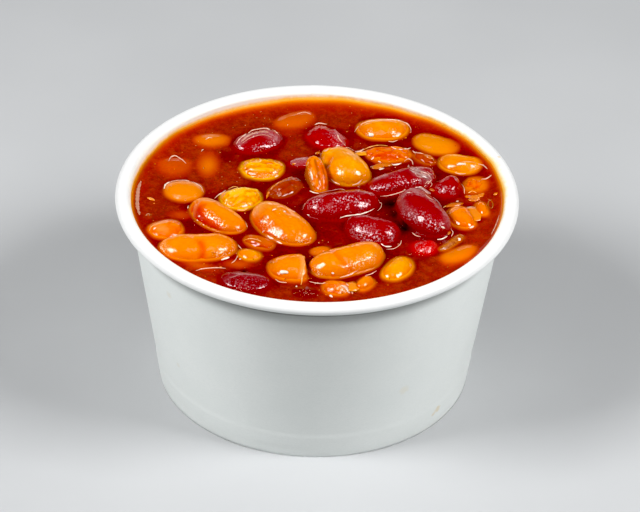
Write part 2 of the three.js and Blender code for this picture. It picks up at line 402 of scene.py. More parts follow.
RIM_SPECKS = [  # pixel, radius in mm, colour, strength
    ((238, 104), 0.55, (0.16, 0.05, 0.01), 1.0),
    ((213, 111), 0.4, (0.45, 0.2, 0.05), 0.7),
    ((204, 114), 0.35, (0.5, 0.25, 0.06), 0.6),
    ((229, 107), 0.3, (0.5, 0.25, 0.08), 0.5),
    ((308, 94), 0.7, (0.75, 0.25, 0.02), 0.8),
    ((308, 98), 1.0, (0.8, 0.28, 0.02), 0.9),
    ((507, 205), 0.9, (0.8, 0.55, 0.2), 0.55),
    ((499, 157), 0.6, (0.75, 0.5, 0.15), 0.5),
    ((395, 106), 0.5, (0.8, 0.5, 0.12), 0.5),
]
WALL_SEARCH = (950, 1100, 0.1)  # from, to and step in mm along the ray, to find the wall
WALL_SPECKS = [
    ((437, 409), 1.3, (0.72, 0.55, 0.25), 0.45),
    ((433, 414), 0.8, (0.7, 0.5, 0.2), 0.35),
    ((404, 390), 1.6, (0.78, 0.7, 0.5), 0.25),
    ((169, 295), 1.2, (0.7, 0.62, 0.45), 0.25),
    ((178, 365), 0.9, (0.7, 0.62, 0.45), 0.2),
]


def paper_point(pixel, high):
    """The point of the paper that a pixel shows: on the rolled rim if high, else on the wall's outside."""
    if high:
        return pixel_at_height(pixel, RIM_TOP - 0.1)
    ray = pixel_ray(pixel)
    for away in np.arange(*WALL_SEARCH):
        p = CAMERA_AT + ray * away
        if math.hypot(p[0], p[1]) < wall_outer(p[2]):
            return p


def paper_material():
    n = Nodes("white_paper")
    clouds = n.noise(14, 3, 0.6)
    fibres = n.noise(0.7, 3, 0.7, stretch=(1, 1, 2.2))
    fine = n.noise(0.22, 2, 0.5)
    colour = n.mix(n.ramp(clouds, 0.3, 0.7), (0.80, 0.835, 0.815), (0.83, 0.86, 0.84))
    colour = n.mix(n.ramp(fibres, 0.35, 0.7, 0.0, 0.5), colour, (0.765, 0.80, 0.785))
    colour = n.mix(n.ramp(fine, 0.62, 0.75, 0.0, 0.3), colour, (0.88, 0.90, 0.88))
    # Lighter on the rolled rim and inside: partly whiter coated paper, partly painted light.
    colour = n.mix(n.attribute("bright"), colour, (0.845, 0.85, 0.845))
    # Painted shade: dark under the rolled rim, on its underside and in its hollow.
    colour = n.mix(n.attribute("painted_shade"), colour, (0.10, 0.098, 0.085))
    position = n.tree.nodes.new("ShaderNodeNewGeometry").outputs["Position"]
    specks = [(paper_point(s[0], True), *s[1:]) for s in RIM_SPECKS]
    specks += [(paper_point(s[0], False), *s[1:]) for s in WALL_SPECKS]
    ragged = n.math("MULTIPLY", n.math("SUBTRACT", n.noise(0.8, 3, 0.6), 0.5), 1.2)
    for point, radius, tint, strength in specks:
        node = n.tree.nodes.new("ShaderNodeVectorMath")
        node.operation = "DISTANCE"
        n.put(node.inputs[0], position)
        node.inputs[1].default_value = tuple(point * MM)
        away = n.math("ADD", n.math("MULTIPLY", node.outputs["Value"], 1.0 / (radius * MM)), ragged)
        colour = n.mix(n.ramp(away, 0.35, 1.1, strength, 0.0), colour, tint)
    # Painted light: the paper inside, just above the sauce's edge in the rolled rim's shade, is painted near
    # white, and a thin film of sauce stains it just above that edge.
    colour = n.mix(n.ramp(n.attribute("stain_and_painted_light"), 0.0, 0.25), colour, (0.97, 0.98, 0.90))
    uneven = n.math("MULTIPLY", n.math("SUBTRACT", n.noise(1.6, 3, 0.6), 0.5), 0.3)
    stain_and_painted_light = n.math("ADD", n.attribute("stain_and_painted_light"), uneven)
    colour = n.mix(n.ramp(stain_and_painted_light, 0.55, 0.97), colour, (0.97, 0.60, 0.10))
    n.set(Base_Color=colour, Roughness=n.ramp(fibres, 0.2, 0.8, 0.42, 0.55), Specular_IOR_Level=0.35)
    relief = n.bump(fibres, 0.03, 0.5)
    n.set(Normal=n.bump(fine, 0.012, 0.4, relief))
    return n.material


# ---- beans ----

TONES = [  # a white bean's tone and its colour, from brown-red over orange to yellow
    (-2.0, (0.17, 0.008, 0.003)),
    (-1.0, (0.42, 0.07, 0.006)),
    (0.0, (0.84, 0.236, 0.006)),
    (1.0, (0.90, 0.50, 0.018)),
]
KIDNEY_TONES = [(-1.0, (0.09, 0.002, 0.007)), (0.0, (0.33, 0.002, 0.005)), (1.0, (0.64, 0.007, 0.005))]

SAUCE_LEVEL = 48.8
ABSORB = np.array([0.10, 0.85, 2.6])  # how fast red, green and blue fade in the sauce, per millimetre

WHITE = [n for n in sorted(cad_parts) if n.startswith("white_bean")]
KIDNEY = [n for n in sorted(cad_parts) if n.startswith("kidney_bean")]
STRIPS = [n for n in sorted(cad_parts) if n.startswith("skin_strip")]


def read_row(line):
    """A kind, two numbers and the pixels, from words such as ridge 0.8 0.12 366,126 384,122."""
    kind, first, second, *pixels = line.split()
    return kind, float(first), float(second), [tuple(map(float, pixel.split(","))) for pixel in pixels]


def read_looks(text):
    """A dict per bean, from a line with its name and settings and the rows of its marks below it."""
    looks = {}
    for line in text.strip().splitlines():
        words = line.split()
        if words[0][-1].isdigit():
            look = looks[words[0]] = dict(zip(words[1::2], map(float, words[2::2])), marks=[])
        else:
            look["marks"].append(read_row(line))
    return looks


# What sets each bean apart. tone runs from -1, brown-red, over 0, orange, to 1, yellow. cover is how thick
# the sauce lies on a bean that hardly breaks its surface, murk how much deeper that looks than it lies, and
# wrinkles how deep those are, in millimetres. Each row below a bean is a mark on it: its kind, width and
# strength, and the pixels along it. It is a groove or a ridge of that width and depth in millimetres, or
# paint: pale skin that is in places painted sheen (pale), painted shade in gaps, hollows and creases (dark),
# thick sauce (film), or fine pale dots that are painted highlights.
LOOKS = read_looks(
    """
white_bean_01 tone -0.1 cover 0.15 murk 0.35
white_bean_02 tone 0.25
  speckle 1.0 0.9 370,134
  speckle 0.8 0.6 393,132
  ridge 0.8 0.12 366,126 384,122 400,128
  ridge 1.2 0.3 371,133
  ridge 1.1 0.26 393,131
white_bean_03 tone 0.3 cover 0.02 murk 0.05
  speckle 0.9 0.6 445,145
  speckle 0.9 0.6 455,147
white_bean_04 tone 0.3
  ridge 0.5 0.15 478,163 486,168
  groove 0.6 0.2 460,160 476,161
  ridge 0.7 0.25 458,164.5 468,163.5 478,166
  speckle 0.6 0.4 459,164.5 468,163.5 477,166
white_bean_05 tone 0.1 cover 0.12 murk 0.1
white_bean_06 tone -0.1 cover 0.1 murk 0.7
white_bean_07 tone 1.1 wrinkles 0.28
  groove 0.5 0.35 248,172 258,174 268,173
  groove 0.4 0.25 252,165 266,166 276,167
  ridge 0.6 0.2 248,168 262,170 276,172
  groove 0.5 0.25 242,166 250,167 256,164
  speckle 0.6 0.8 260,176.5 268,175 274,172
  film 1.6 0.5 248,178 262,180
white_bean_08 tone 0.1 cover 0.02
white_bean_09 tone 1.1 wrinkles 0.2
  ridge 0.6 0.25 225,196 234,190 243,189
  ridge 0.6 0.2 245,193 257,190
  groove 0.7 0.2 230,202 240,196 250,198
  ridge 0.5 0.15 238,209 249,209
  speckle 0.7 0.7 242,206.5 249,205
  speckle 0.6 0.6 232,192 238,190
white_bean_10 tone 0.05
  groove 0.6 0.3 193,205 192,214
  groove 0.5 0.25 198,203 196,215
  ridge 0.8 0.3 195,216 196,207 202,202 212,203
  pale 0.7 0.3 194,214 196,206 202,201 212,202
  ridge 1.6 0.3 203,211 213,218 226,228
  ridge 1.0 0.2 238,229
  film 2.1 3.2 196,213 201,223 213,230.5
  speckle 0.7 1.0 206,212 214,218 224,226
  speckle 0.7 0.6 238,229
white_bean_11 tone -1.3 wrinkles 0.14
  groove 0.8 0.5 276,194 283,187 292,182
  ridge 0.9 0.3 280,194
  speckle 0.8 0.5 278,193 283,199
white_bean_12 tone -0.1 wrinkles 0.16
  groove 0.5 0.3 316,162 318,175 322,186
  dark 0.3 0.5 315,160 318,170 320,184
  dark 0.3 0.4 319,158 323,168 325,178
  film 1.0 0.6 322,165 325,176 329,186
  ridge 0.5 0.2 312,158 312,172 316,188
  speckle 0.6 0.9 309,171 310,180 313,187
white_bean_13 tone 0.35
  ridge 1.4 0.9 323,151 326,153
  groove 0.9 0.4 327,164 329,159
  speckle 0.8 0.7 340,169 341,174
  speckle 0.6 0.7 355,172
white_bean_14 tone -0.2 wrinkles 0.3
  groove 0.6 0.5 374,158 386,155 400,157
  ridge 0.5 0.25 366,150 380,147 394,147 408,149
  film 2.5 0.5 372,160 384,162
white_bean_15 tone -0.8 wrinkles 0.1
  film 4.0 0.4 420,158
white_bean_16 tone -0.25 wrinkles 0.22
  groove 0.4 0.3 466,192 472,190 478,194
  groove 0.35 0.3 470,197 476,195
  groove 0.3 0.25 467,188 474,187
  dark 0.6 0.8 468,192 473,191 476,194
  film 1.6 0.6 472,193
  speckle 1.1 0.5 468,194 475,197 482,193
white_bean_17 tone 0.0 wrinkles 0.06
  ridge 0.6 0.2 455,212 460,209 470,207
  groove 0.7 0.3 474,208 476,222
white_bean_18 tone 0.0
white_bean_19 tone 0.0 wrinkles 0.08
  pale 1.0 0.3 160,228 165,229
  groove 0.5 0.2 168,226 178,229
  groove 0.4 0.2 170,230 180,232
white_bean_20 tone 0.05
  groove 0.8 0.3 199,240 203,246 202,258
  film 0.7 0.6 200,242 203,248 202,258
  speckle 1.3 0.8 154,247 163,251
  speckle 1.6 0.8 221,257 229,252
white_bean_21 tone 0.0 wrinkles 0.05
  groove 0.35 0.3 260,221 264,216
  groove 0.35 0.3 265,224 269,218
  groove 0.35 0.3 269,226 272,221
  ridge 0.4 0.2 262,219 270,216 276,211
  groove 0.35 0.25 268,235 276,239 284,243
  ridge 0.4 0.2 267,232 275,236 282,240
  groove 0.3 0.2 272,210 276,214
  groove 0.3 0.2 284,209 288,213
  pale 1.6 0.35 256,212 262,204 274,202 284,205
  film 2.4 0.9 257,224 262,231 268,235
  speckle 1.2 0.5 264,221 275,232 284,241
  speckle 1.4 0.75 300,240 305,244
white_bean_22 tone -0.5
  ridge 0.5 0.3 243,240 254,241 268,248
  groove 0.9 0.12 246,244 256,246 266,251
  film 1.3 1.6 245,248 256,250.5 266,252.5
white_bean_23 tone 0.5
white_bean_24 tone 0.0
  pale 0.5 0.5 301,256 303,262 301,275 299,284
  film 1.5 0.6 276,280
white_bean_25 tone 0.1 wrinkles 0.03
  groove 0.8 0.3 332,250 340,258 348,266 352,272
  groove 0.3 0.1 352,262 355,267
  groove 0.3 0.1 358,260 361,265
  groove 0.3 0.1 364,257 367,262
  ridge 0.5 0.12 352,264 362,261 372,256
  speckle 1.1 0.85 314,271 319,275
  speckle 1.0 0.8 352,265 362,261 372,256
white_bean_26 tone -0.1 wrinkles 0.16
  pale 1.2 0.4 343,286 347,293
  groove 0.4 0.3 341,283 344,294
  speckle 1.2 0.5 338,288 347,294
white_bean_27 tone 0.0
  groove 0.6 0.3 354,277 355,287
white_bean_28 tone 0.5
white_bean_29 tone 0.1 cover 0.05 murk 0.1
  film 6.0 0.35 446,262 458,254
white_bean_30 tone -0.3 cover 0.08
kidney_bean_01
  ridge 0.7 0.35 238,140 248,133 260,130 272,133 278,137
  pale 1.0 0.8 240,142 249,135 260,132 271,135 277,139
  groove 1.2 0.4 247,143 258,138 270,141
  speckle 1.0 0.55 256,150 266,146 272,142
kidney_bean_02 tone 0.3 wrinkles 0.12
  ridge 0.8 0.4 335,130 338,138 344,146
  pale 0.7 0.7 334,129 338,138 345,147
  ridge 0.6 0.3 314,124 326,126
  groove 1.2 0.3 324,132 328,146
  speckle 1.3 0.3 331,134 338,142
kidney_bean_03 tone 0.0
  pale 2.0 0.75 291,161 305,159
kidney_bean_04 tone -0.1
  pale 1.3 0.9 408,166 418,171 429,178
  pale 0.9 0.5 375,179 385,176
  ridge 0.7 0.4 370,190 388,188 404,184 419,180
  groove 0.7 0.25 408,171 418,175 428,181
  speckle 0.7 0.8 371,189 388,187 404,183 418,180
  speckle 0.7 0.4 392,177 402,177
kidney_bean_05 tone 0.1
  ridge 0.6 0.15 440,184 448,181 458,183
  speckle 0.9 0.6 440,189 450,191
kidney_bean_06 tone 0.0
  groove 0.7 0.1 330,206 350,206
  pale 0.7 0.25 318,196 340,191 362,193
  speckle 0.9 0.95 311,204 318,201
  speckle 0.9 0.85 336,200 350,198
  speckle 1.0 0.95 357,199 362,204
  speckle 0.9 0.35 316,210 334,209
kidney_bean_07 tone 0.0
  pale 1.8 0.8 414,188 426,190 434,196
  pale 1.3 0.5 436,199 444,210 448,222
  pale 1.2 0.3 399,200 404,208 412,214
  speckle 1.6 0.28 406,212 420,216 430,222
  speckle 1.1 0.95 430,222 437,226
  speckle 0.9 0.8 409,215 415,219
kidney_bean_08 tone 0.05
  pale 0.9 0.3 360,216 376,214 392,218 398,226
  speckle 1.5 0.95 359,233 368,236 375,238
  speckle 0.8 0.8 391,229 391,238
  speckle 1.2 0.3 352,228 370,226
kidney_bean_09 tone 0.7
  speckle 1.4 0.35 416,242 428,251
kidney_bean_10 tone -0.4
  pale 0.9 0.15 226,279 242,274 262,277
  speckle 2.2 0.16 230,283 268,285
kidney_bean_11 tone -0.6 cover 0.02
  speckle 1.6 0.25 298,292 316,293
skin_strip_01 tone -0.5
  groove 0.6 0.35 444,250 452,244 459,240
"""
)


SUBDIVISIONS = 3


def smooth_copy(node):
    """The CAD node's own shape with a fine smooth mesh that fills the same box, in millimetres."""
    source = bmesh.new()
    source.from_mesh(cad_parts[node].data)
    bmesh.ops.remove_doubles(source, verts=source.verts, dist=1e-6)
    bmesh.ops.join_triangles(
        source,
        faces=source.faces,
        angle_face_threshold=math.radians(50),
        angle_shape_threshold=math.radians(60),
    )
    mesh = bpy.data.meshes.new("rough")
    source.to_mesh(mesh)
    source.free()
    rough = bpy.data.objects.new("rough", mesh)
    bpy.context.scene.collection.objects.link(rough)
    modifier = rough.modifiers.new("smooth", "SUBSURF")
    modifier.levels = modifier.render_levels = SUBDIVISIONS
    evaluated = rough.evaluated_get(bpy.context.evaluated_depsgraph_get())
    fine = evaluated.to_mesh()
    vertices = np.array([v.co for v in fine.vertices], float) / MM
    faces = [tuple(p.vertices) for p in fine.polygons]
    evaluated.to_mesh_clear()
    bpy.data.objects.remove(rough)
    bpy.data.meshes.remove(mesh)
    low, high = (np.array(c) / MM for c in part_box(node))
    own_low, own_high = vertices.min(0), vertices.max(0)
    vertices = low + (vertices - own_low) * (high - low) / (own_high - own_low)
    return vertices, faces


def long_axis(vertices):
    """The direction in plan of a bean's length."""
    plan = vertices[:, :2] - vertices[:, :2].mean(0)
    axis = np.linalg.eigh(plan.T @ plan)[1][:, 1]
    return np.array([axis[0], axis[1], 0.0])


def join_tree(surfaces):
    """One search tree over several meshes."""
    corners, joined = [], []
    for vertices, faces in surfaces:
        joined += [tuple(i + len(corners) for i in face) for face in faces]
        corners += vertices.tolist()
    return BVHTree.FromPolygons(corners, joined)


def surface_line(tree, pixels):
    """Where the camera's rays through those pixels meet a mesh, or come nearest to it."""
    line = []
    for pixel in pixels:
        ray = pixel_ray(pixel)
        hit = tree.ray_cast(Vector(CAMERA_AT), Vector(ray))[0]
        if hit is None:
            hit = tree.find_nearest(Vector(pixel_at_height(pixel, SAUCE_LEVEL + 1)))[0]
        line.append(np.array(hit))
    return line


PAINTS = ("pale", "dark", "film", "speckle")
LUMPS = [(0.18, 5.0, 1, 0.0), (0.08, 2.1, 2, 0.5)]  # height, size, octaves and what sets the noise apart
WRINKLE_GRAIN = (0.45, 1.3, 1.3)  # they run along the bean
PLAIN_WRINKLES = 0.02
CREASE_DEPTH = 0.8  # of a crease between wrinkles, against their height
CREASE_WIDTH, POOL_WIDTH = 0.12, 0.16  # how far off the noise's zero a crease and its sauce reach
MARK_UNEVEN = 0.25
CREASE_COAT = 4.0  # how thick sauce stands in the creases and grooves, against their depth
GROOVE_COAT = 1.6
WET_COAT = 1.0  # how thick sauce lies on a bean at the sauce's level, and how fast that thins out above it
WET_REACH = 0.85
PATCHY_COAT = 0.12


def grow_bean(node, seed):
    """A bean grown from its CAD node, with its lumps, wrinkles and marks, as a dict of arrays."""
    look = LOOKS[node]
    vertices, faces = smooth_copy(node)
    normals = vertex_normals(vertices, faces)
    tree = BVHTree.FromPolygons(vertices.tolist(), faces)
    axis = long_axis(vertices)
    across = np.array([-axis[1], axis[0], 0.0])
    local = np.stack([vertices @ axis, vertices @ across, vertices[:, 2]], 1)

    shift = sum(high * fractal(vertices, size, octaves, seed + other) for high, size, octaves, other in LUMPS)
    wrinkles = look.get("wrinkles", PLAIN_WRINKLES)
    lines = fractal(local * WRINKLE_GRAIN, 1.5, 2, seed + 0.9)
    shift += wrinkles * lines - CREASE_DEPTH * wrinkles * np.exp(-((lines / CREASE_WIDTH) ** 2))
    pooled = CREASE_COAT * wrinkles * np.exp(-((lines / POOL_WIDTH) ** 2))
    paints = {kind: np.zeros(len(vertices)) for kind in PAINTS}
    for kind, width, strength, pixels in look["marks"]:
        line = surface_line(tree, pixels)
        jitter = 1 + MARK_UNEVEN * fractal(vertices, 1.2, 1, seed + width)
        near = np.exp(-((distance_to_line(vertices, line) * jitter / width) ** 2))
        if kind == "groove":
            shift -= strength * near
            pooled = np.maximum(pooled, GROOVE_COAT * strength * near)
        elif kind == "ridge":
            shift += strength * near
        else:
            paints[kind] = np.maximum(paints[kind], strength * near)
    vertices = vertices + normals * shift[:, None]
    # Skin that slopes down to the back has little gloss.
    dull = smoothstep(0.15, 0.8, normals[:, 1]) * smoothstep(0.85, 0.4, normals[:, 2])

    above = vertices[:, 2] - SAUCE_LEVEL
    coat = paints.pop("film") + pooled + WET_COAT * np.exp(-np.clip(above, 0, None) / WET_REACH)
    coat += PATCHY_COAT * np.clip(fractal(vertices, 2.6, 2, seed + 1.7), 0, 1)
    return {
        "vertices": vertices,
        "faces": faces,
        "tone": np.full(len(vertices), look.get("tone", 0.0)),
        "film": np.exp(-coat[:, None] * ABSORB),
        "dull": dull,
        **paints,
    }


def wet_skin(n, pebble_size, pebbles, grain, swells):
    """A glossy coat over pebbles and a fine grain, patchy, on low swells. The depths are millimetres."""
    patchy = n.ramp(n.noise(2.4, 2, 0.5, shift=8.0), 0.35, 0.6, 0.25, 1.0)
    wavy = n.bump(n.noise(1.3, 2, 0.5, shift=13.0), swells)
    fine = n.bump(n.noise(0.4, 3, 0.65), grain, 1.0, wavy)
    dimples = n.ramp(n.cells(pebble_size, shift=2.0), 0.0, 0.65)
    relief = n.bump(n.math("MULTIPLY", dimples, patchy), pebbles, 1.0, fine)
    n.set(Normal=relief, Coat_Normal=relief, Coat_Roughness=0.03, Coat_IOR=1.45)
    n.set(Coat_Weight=n.ramp(n.attribute("dull"), 0.0, 1.0, 1.0, 0.3))


def mottled_tone(n, size, amount):
    """The bean's tone with clouds of about size millimetres."""
    clouds = n.math("SUBTRACT", n.noise(size, 3, 0.6), 0.5)
    return n.math("ADD", n.attribute("tone"), n.math("MULTIPLY", clouds, amount))


def painted_highlight_dots(n, colour, dot):
    """Painted highlights: tiny pale dots painted on the skin where it is marked for them."""
    large = n.ramp(n.cells(0.7, shift=20.0), 0.20, 0.40, 1.0, 0.0)
    small = n.ramp(n.cells(0.45, shift=21.0), 0.20, 0.40, 0.7, 0.0)
    dots = n.math("MAXIMUM", large, small)
    return n.mix(n.math("MULTIPLY", n.attribute("speckle"), dots), colour, dot)


def tone_colour(tones, tone):
    """The colour of a tone, between the listed ones."""
    steps = np.array([t for t, _ in tones])
    colours = np.array([c for _, c in tones])
    return np.array([np.interp(tone, steps, colours[:, k]) for k in range(3)])


def tone_nodes(n, tones, tone):
    """The same in nodes."""
    colour = tones[0][1]
    for (low, _), (high, upper) in zip(tones[:-1], tones[1:]):
        colour = n.mix(n.ramp(tone, low, high), colour, upper)
    return colour


def white_bean_material():
    n = Nodes("white_bean_in_sauce")
    colour = tone_nodes(n, TONES, mottled_tone(n, 3.2, 0.9))
    blotch = n.ramp(n.noise(1.1, 3, 0.65, shift=3.0), 0.55, 0.8, 0.0, 0.35)
    colour = n.mix(blotch, colour, (0.80, 0.15, 0.003))
    pores = n.ramp(n.cells(0.75, shift=1.0), 0.06, 0.16, 0.35, 0.0)
    colour = n.mix(pores, colour, (0.6, 0.12, 0.005))
    colour = n.mix(1.0, colour, n.attribute("film", "Color"), "MULTIPLY")
    # Pale skin where marked pale, in places painted sheen.
    colour = n.mix(n.attribute("pale"), colour, (0.88, 0.43, 0.13))
    # Painted shade where a bean is marked dark: its gaps, hollows and creases.
    colour = n.mix(n.attribute("dark"), colour, (0.09, 0.012, 0.002))
    # Painted highlights as fine pale dots.
    colour = painted_highlight_dots(n, colour, (1.0, 0.82, 0.55))
    n.set(Base_Color=colour, Roughness=n.ramp(n.noise(0.8, 2), 0.3, 0.7, 0.3, 0.42), Specular_IOR_Level=0.05)
    n.set(Subsurface_Weight=0.2, Subsurface_Scale=0.0012, Subsurface_Radius=(1.0, 0.4, 0.12))
    wet_skin(n, 0.7, 0.022, 0.010, 0.11)
    return n.material


def kidney_bean_material():
    n = Nodes("kidney_bean_in_sauce")
    colour = tone_nodes(n, KIDNEY_TONES, mottled_tone(n, 2.6, 0.8))
    frost = n.ramp(n.noise(1.4, 3, 0.65, shift=5.0), 0.5, 0.75, 0.0, 0.2)
    colour = n.mix(frost, colour, (0.36, 0.02, 0.03))
    colour = n.mix(n.ramp(n.cells(0.58, shift=2.0), 0.0, 0.3, 0.2, 0.0), colour, (0.5, 0.02, 0.03))
    # Pale dusty skin where marked pale, in places painted sheen along the edges.
    dust_and_sheen = n.ramp(n.noise(0.45, 3, 0.7, shift=9.0), 0.35, 0.6, 0.2, 1.0)
    colour = n.mix(n.math("MULTIPLY", n.attribute("pale"), dust_and_sheen), colour, (0.46, 0.20, 0.21))
    # Painted shade where a bean is marked dark.
    colour = n.mix(n.attribute("dark"), colour, (0.02, 0.0, 0.0))
    # Painted highlights as fine pale dots.
    colour = painted_highlight_dots(n, colour, (0.86, 0.60, 0.66))
    n.set(Base_Color=colour, Roughness=n.ramp(n.noise(0.6, 2), 0.3, 0.7, 0.25, 0.38), Specular_IOR_Level=0.06)
    n.set(Subsurface_Weight=0.08, Subsurface_Scale=0.001)
    wet_skin(n, 0.62, 0.036, 0.014, 0.14)
    return n.material


def strip_material():
    n = Nodes("loose_bean_skin")
    streaks = n.noise(0.5, 3, 0.6, stretch=(1, 1, 0.4))
    colour = n.mix(n.ramp(streaks, 0.35, 0.7), (0.36, 0.07, 0.006), (0.58, 0.18, 0.02))
    colour = n.mix(n.attribute("pale"), colour, (0.78, 0.42, 0.24))
    n.set(Base_Color=colour, Roughness=0.25, Coat_Weight=0.9, Coat_Roughness=0.06)
    n.set(Normal=n.bump(streaks, 0.06, 0.8))
    return n.material


# ---- sauce ----

GRID_STEP = 0.25
GRID_HALF = 46.5
# At each azimuth from +X: how high the sauce climbs the paper, how wide the paper glows through, and how far
# the climb reaches.
EDGES = [
    (0, 50.7, 0.8, 1.8),
    (20, 51.0, 0.8, 2.3),
    (30, 50.7, 0.9, 2.4),
    (40, 50.5, 1.1, 2.6),
    (60, 49.9, 1.5, 2.6),
    (75, 49.7, 2.2, 2.2),
    (90, 49.6, 2.4, 2.0),
    (102, 49.6, 2.4, 2.3),
    (113, 49.1, 2.0, 2.5),
    (130, 49.1, 1.4, 2.5),
    (141, 49.8, 1.3, 2.6),
    (150, 49.6, 1.2, 2.5),
    (160, 49.1, 1.1, 2.3),
    (180, 49.4, 1.0, 1.8),
    (225, 49.7, 0.8, 1.5),
    (270, 49.8, 0.4, 1.5),
    (315, 49.8, 0.5, 1.5),
    (360, 50.7, 0.8, 1.8),
]
FAR = 60.0
NOWHERE = -1e3
ABOVE_ALL = 70.0
DOWN = Vector((0, 0, -1))
LINE_CHUNK = 64  # how many points of a line are taken at once
EDGE_WAVES = [(0.12, 9, 1.0), (0.08, 23, 0.0)]
WATER_LINE = SAUCE_LEVEL + 0.1
SWELL = 0.10
LIGHT_SLANT = math.radians(28)
GLOW_BLUR = 0.28
PAPER_GLOW = np.array([0.97, 0.90, 0.62])
EDGE_DEPTH, EDGE_DEEPENS = 0.75, 2.4  # how much sauce lies before the paper at its edge, and in from there
GAP_TINT = np.array([0.58, 0.02, 0.4])  # what the beans' shadows leave of the sauce's colour between them
MENISCUS_SHARE = 0.09  # how high the sauce climbs a bean, against how far that stands out
MENISCUS_HEIGHT = (0.05, 0.25)
MENISCUS_REACH = 0.9
CLIMB_MARGIN = 4.0
HAZE_DEPTH = 1.6  # how deep a bean may lie and still show
THIN_DEPTH = 0.6
SHOWN_FROM = 0.25  # a bean that stands out further lifts the sauce with it, to just under its skin
UNDER_SKIN = 0.15
JOIN_REACH = 0.5
# Painted shade: the sauce's own colour darkens where beans crowd round it.
CROWD_FROM, CROWD_TO, CROWD_REACH = 0.06, 0.38, 2.8  # how many beans round a place make it a gap between them
CROWD_ABOVE = 0.4  # how far a bean has to stand out to count
SUNK_DOME = 3.0
SUNK_TONE = -0.1
# Beans wholly under the sauce: middle pixel, half sizes, heading in plan, depth, and its growth to the back.
SUNK = [
    ((208, 164), (6.3, 3.3), 90, 0.3, 0.05),
    ((182, 215), (4.0, 2.4), 0, 1.1, 0.0),
    ((197, 265), (5.5, 2.2), -24, 0.7, 0.0),
    ((470, 262), (3.0, 2.0), 40, 0.9, 0.0),
    ((238, 264), (4.0, 2.2), 0, 0.75, 0.0),
    ((289, 131), (5.0, 2.6), 20, 1.9, 0.0),
]
# Where painted shade darkens the gaps between the beans, and the darkest hollows, which also sink the sauce:
# pixel and size.
DEEP_SPOTS = [((330, 236), 4.5), ((322, 224), 3.0), ((228, 157), 3.0), ((300, 262), 2.0), ((278, 172), 2.5)]
HOLLOWS = [((391, 203), 2.2), ((405, 227), 2.1), ((244, 270), 0.8), ((398, 214), 1.4)]
DEEP_SHADE = 0.8
HOLLOW_DEPTH = 0.5
HOLLOW_SHADE = 0.85


def blur(field, sigma):
    """A Gaussian blur of a grid, sigma in millimetres."""
    reach = int(3 * sigma / GRID_STEP) + 1
    x = np.arange(-reach, reach + 1) * GRID_STEP
    kernel = np.exp(-0.5 * (x / sigma) ** 2)
    kernel /= kernel.sum()
    for axis in (0, 1):
        padded = np.pad(field, [(reach, reach) if a == axis else (0, 0) for a in (0, 1)], mode="edge")
        out = np.zeros_like(field)
        for k, w in enumerate(kernel):
            out += w * np.take(padded, np.arange(k, k + field.shape[axis]), axis)
        field = out
    return field


def edge_height(azimuth):
    degrees = np.degrees(azimuth) % 360
    table = np.array(EDGES)
    return np.interp(degrees, table[:, 0], table[:, 1]) + waves(azimuth, EDGE_WAVES)


def edge_radius(height):
    """The radius of the paper's inside at a height, over the inner half of the rolled rim too."""
    sine = np.clip((height - ROLL_CENTRE[1]) / ROLL_HALF[1], 0, 0.98)
    rolled = ROLL_CENTRE[0] - ROLL_HALF[0] * np.sqrt(1 - sine * sine)
    straight = np.minimum(wall_inner(height), ROLL_CENTRE[0] - ROLL_HALF[0])
    return np.where(height > ROLL_CENTRE[1], rolled, straight)


def water_line(bean):
    """Points where a bean's surface crosses the sauce's level, in plan."""
    bm = bmesh.new()
    mesh = bpy.data.meshes.new("cut")
    mesh.from_pydata(bean["vertices"].tolist(), [], bean["faces"])
    bm.from_mesh(mesh)
    geometry = [*bm.verts, *bm.edges, *bm.faces]
    cut = bmesh.ops.bisect_plane(bm, geom=geometry, plane_co=(0, 0, WATER_LINE), plane_no=(0, 0, 1))
    points = np.array([v.co[:2] for v in cut["geom_cut"] if isinstance(v, bmesh.types.BMVert)], float)
    bm.free()
    bpy.data.meshes.remove(mesh)
    return points.reshape(-1, 2)


def glow_paths(beans, gx, gy, start):
    """How far the light runs through the sauce to the bean below each point of the grid, and its colour. The
    light comes from the front, so the sauce glows in front of a bean and is dark behind it."""
    colours, murks = [], []
    for name, bean in beans.items():
        look = LOOKS[name]
        colour = tone_colour(KIDNEY_TONES if name in KIDNEY else TONES, look.get("tone", 0.0))
        colours += [colour] * len(bean["faces"])
        murks += [look.get("murk", 0.0)] * len(bean["faces"])
    tree = join_tree([(bean["vertices"], bean["faces"]) for bean in beans.values()])
    slant = Vector((0.0, math.sin(LIGHT_SLANT), -math.cos(LIGHT_SLANT)))
    path = np.full(gx.shape, FAR)
    colour = np.zeros((*gx.shape, 3))
    for i, j in zip(*np.nonzero(gx**2 + gy**2 <= GRID_HALF**2)):
        hit, _, face, distance = tree.ray_cast(Vector((gx[i, j], gy[i, j], start[i, j])), slant)
        if hit is not None:
            path[i, j] = distance + murks[face]
            colour[i, j] = colours[face]
    return path, colour


def top_of(tree, x, y):
    """The height of a mesh above each point in plan, or -1000 where it has none."""
    found = np.full(x.shape, NOWHERE)
    for i, j in np.ndindex(x.shape):
        hit = tree.ray_cast(Vector((x[i, j], y[i, j], ABOVE_ALL)), DOWN)[0]
        if hit is not None:
            found[i, j] = hit.z
    return found


def distance_in_plan(x, y, line):
    """The distance from each point in plan to the nearest of a line's."""
    spots = np.stack([x.ravel(), y.ravel()], 1)
    away = np.full(len(spots), 1e9)
    for start in range(0, len(line), LINE_CHUNK):
        part = line[start : start + LINE_CHUNK]
        away = np.minimum(away, np.linalg.norm(spots[:, None] - part[None], axis=2).min(1))
    return away.reshape(x.shape)


def nearness(gx, gy, pixel, size):
    """1 at the point of the sauce that a pixel shows, and fading over size millimetres."""
    point = pixel_at_height(pixel, SAUCE_LEVEL)
    return np.exp(-((np.hypot(gx - point[0], gy - point[1]) / size) ** 2))


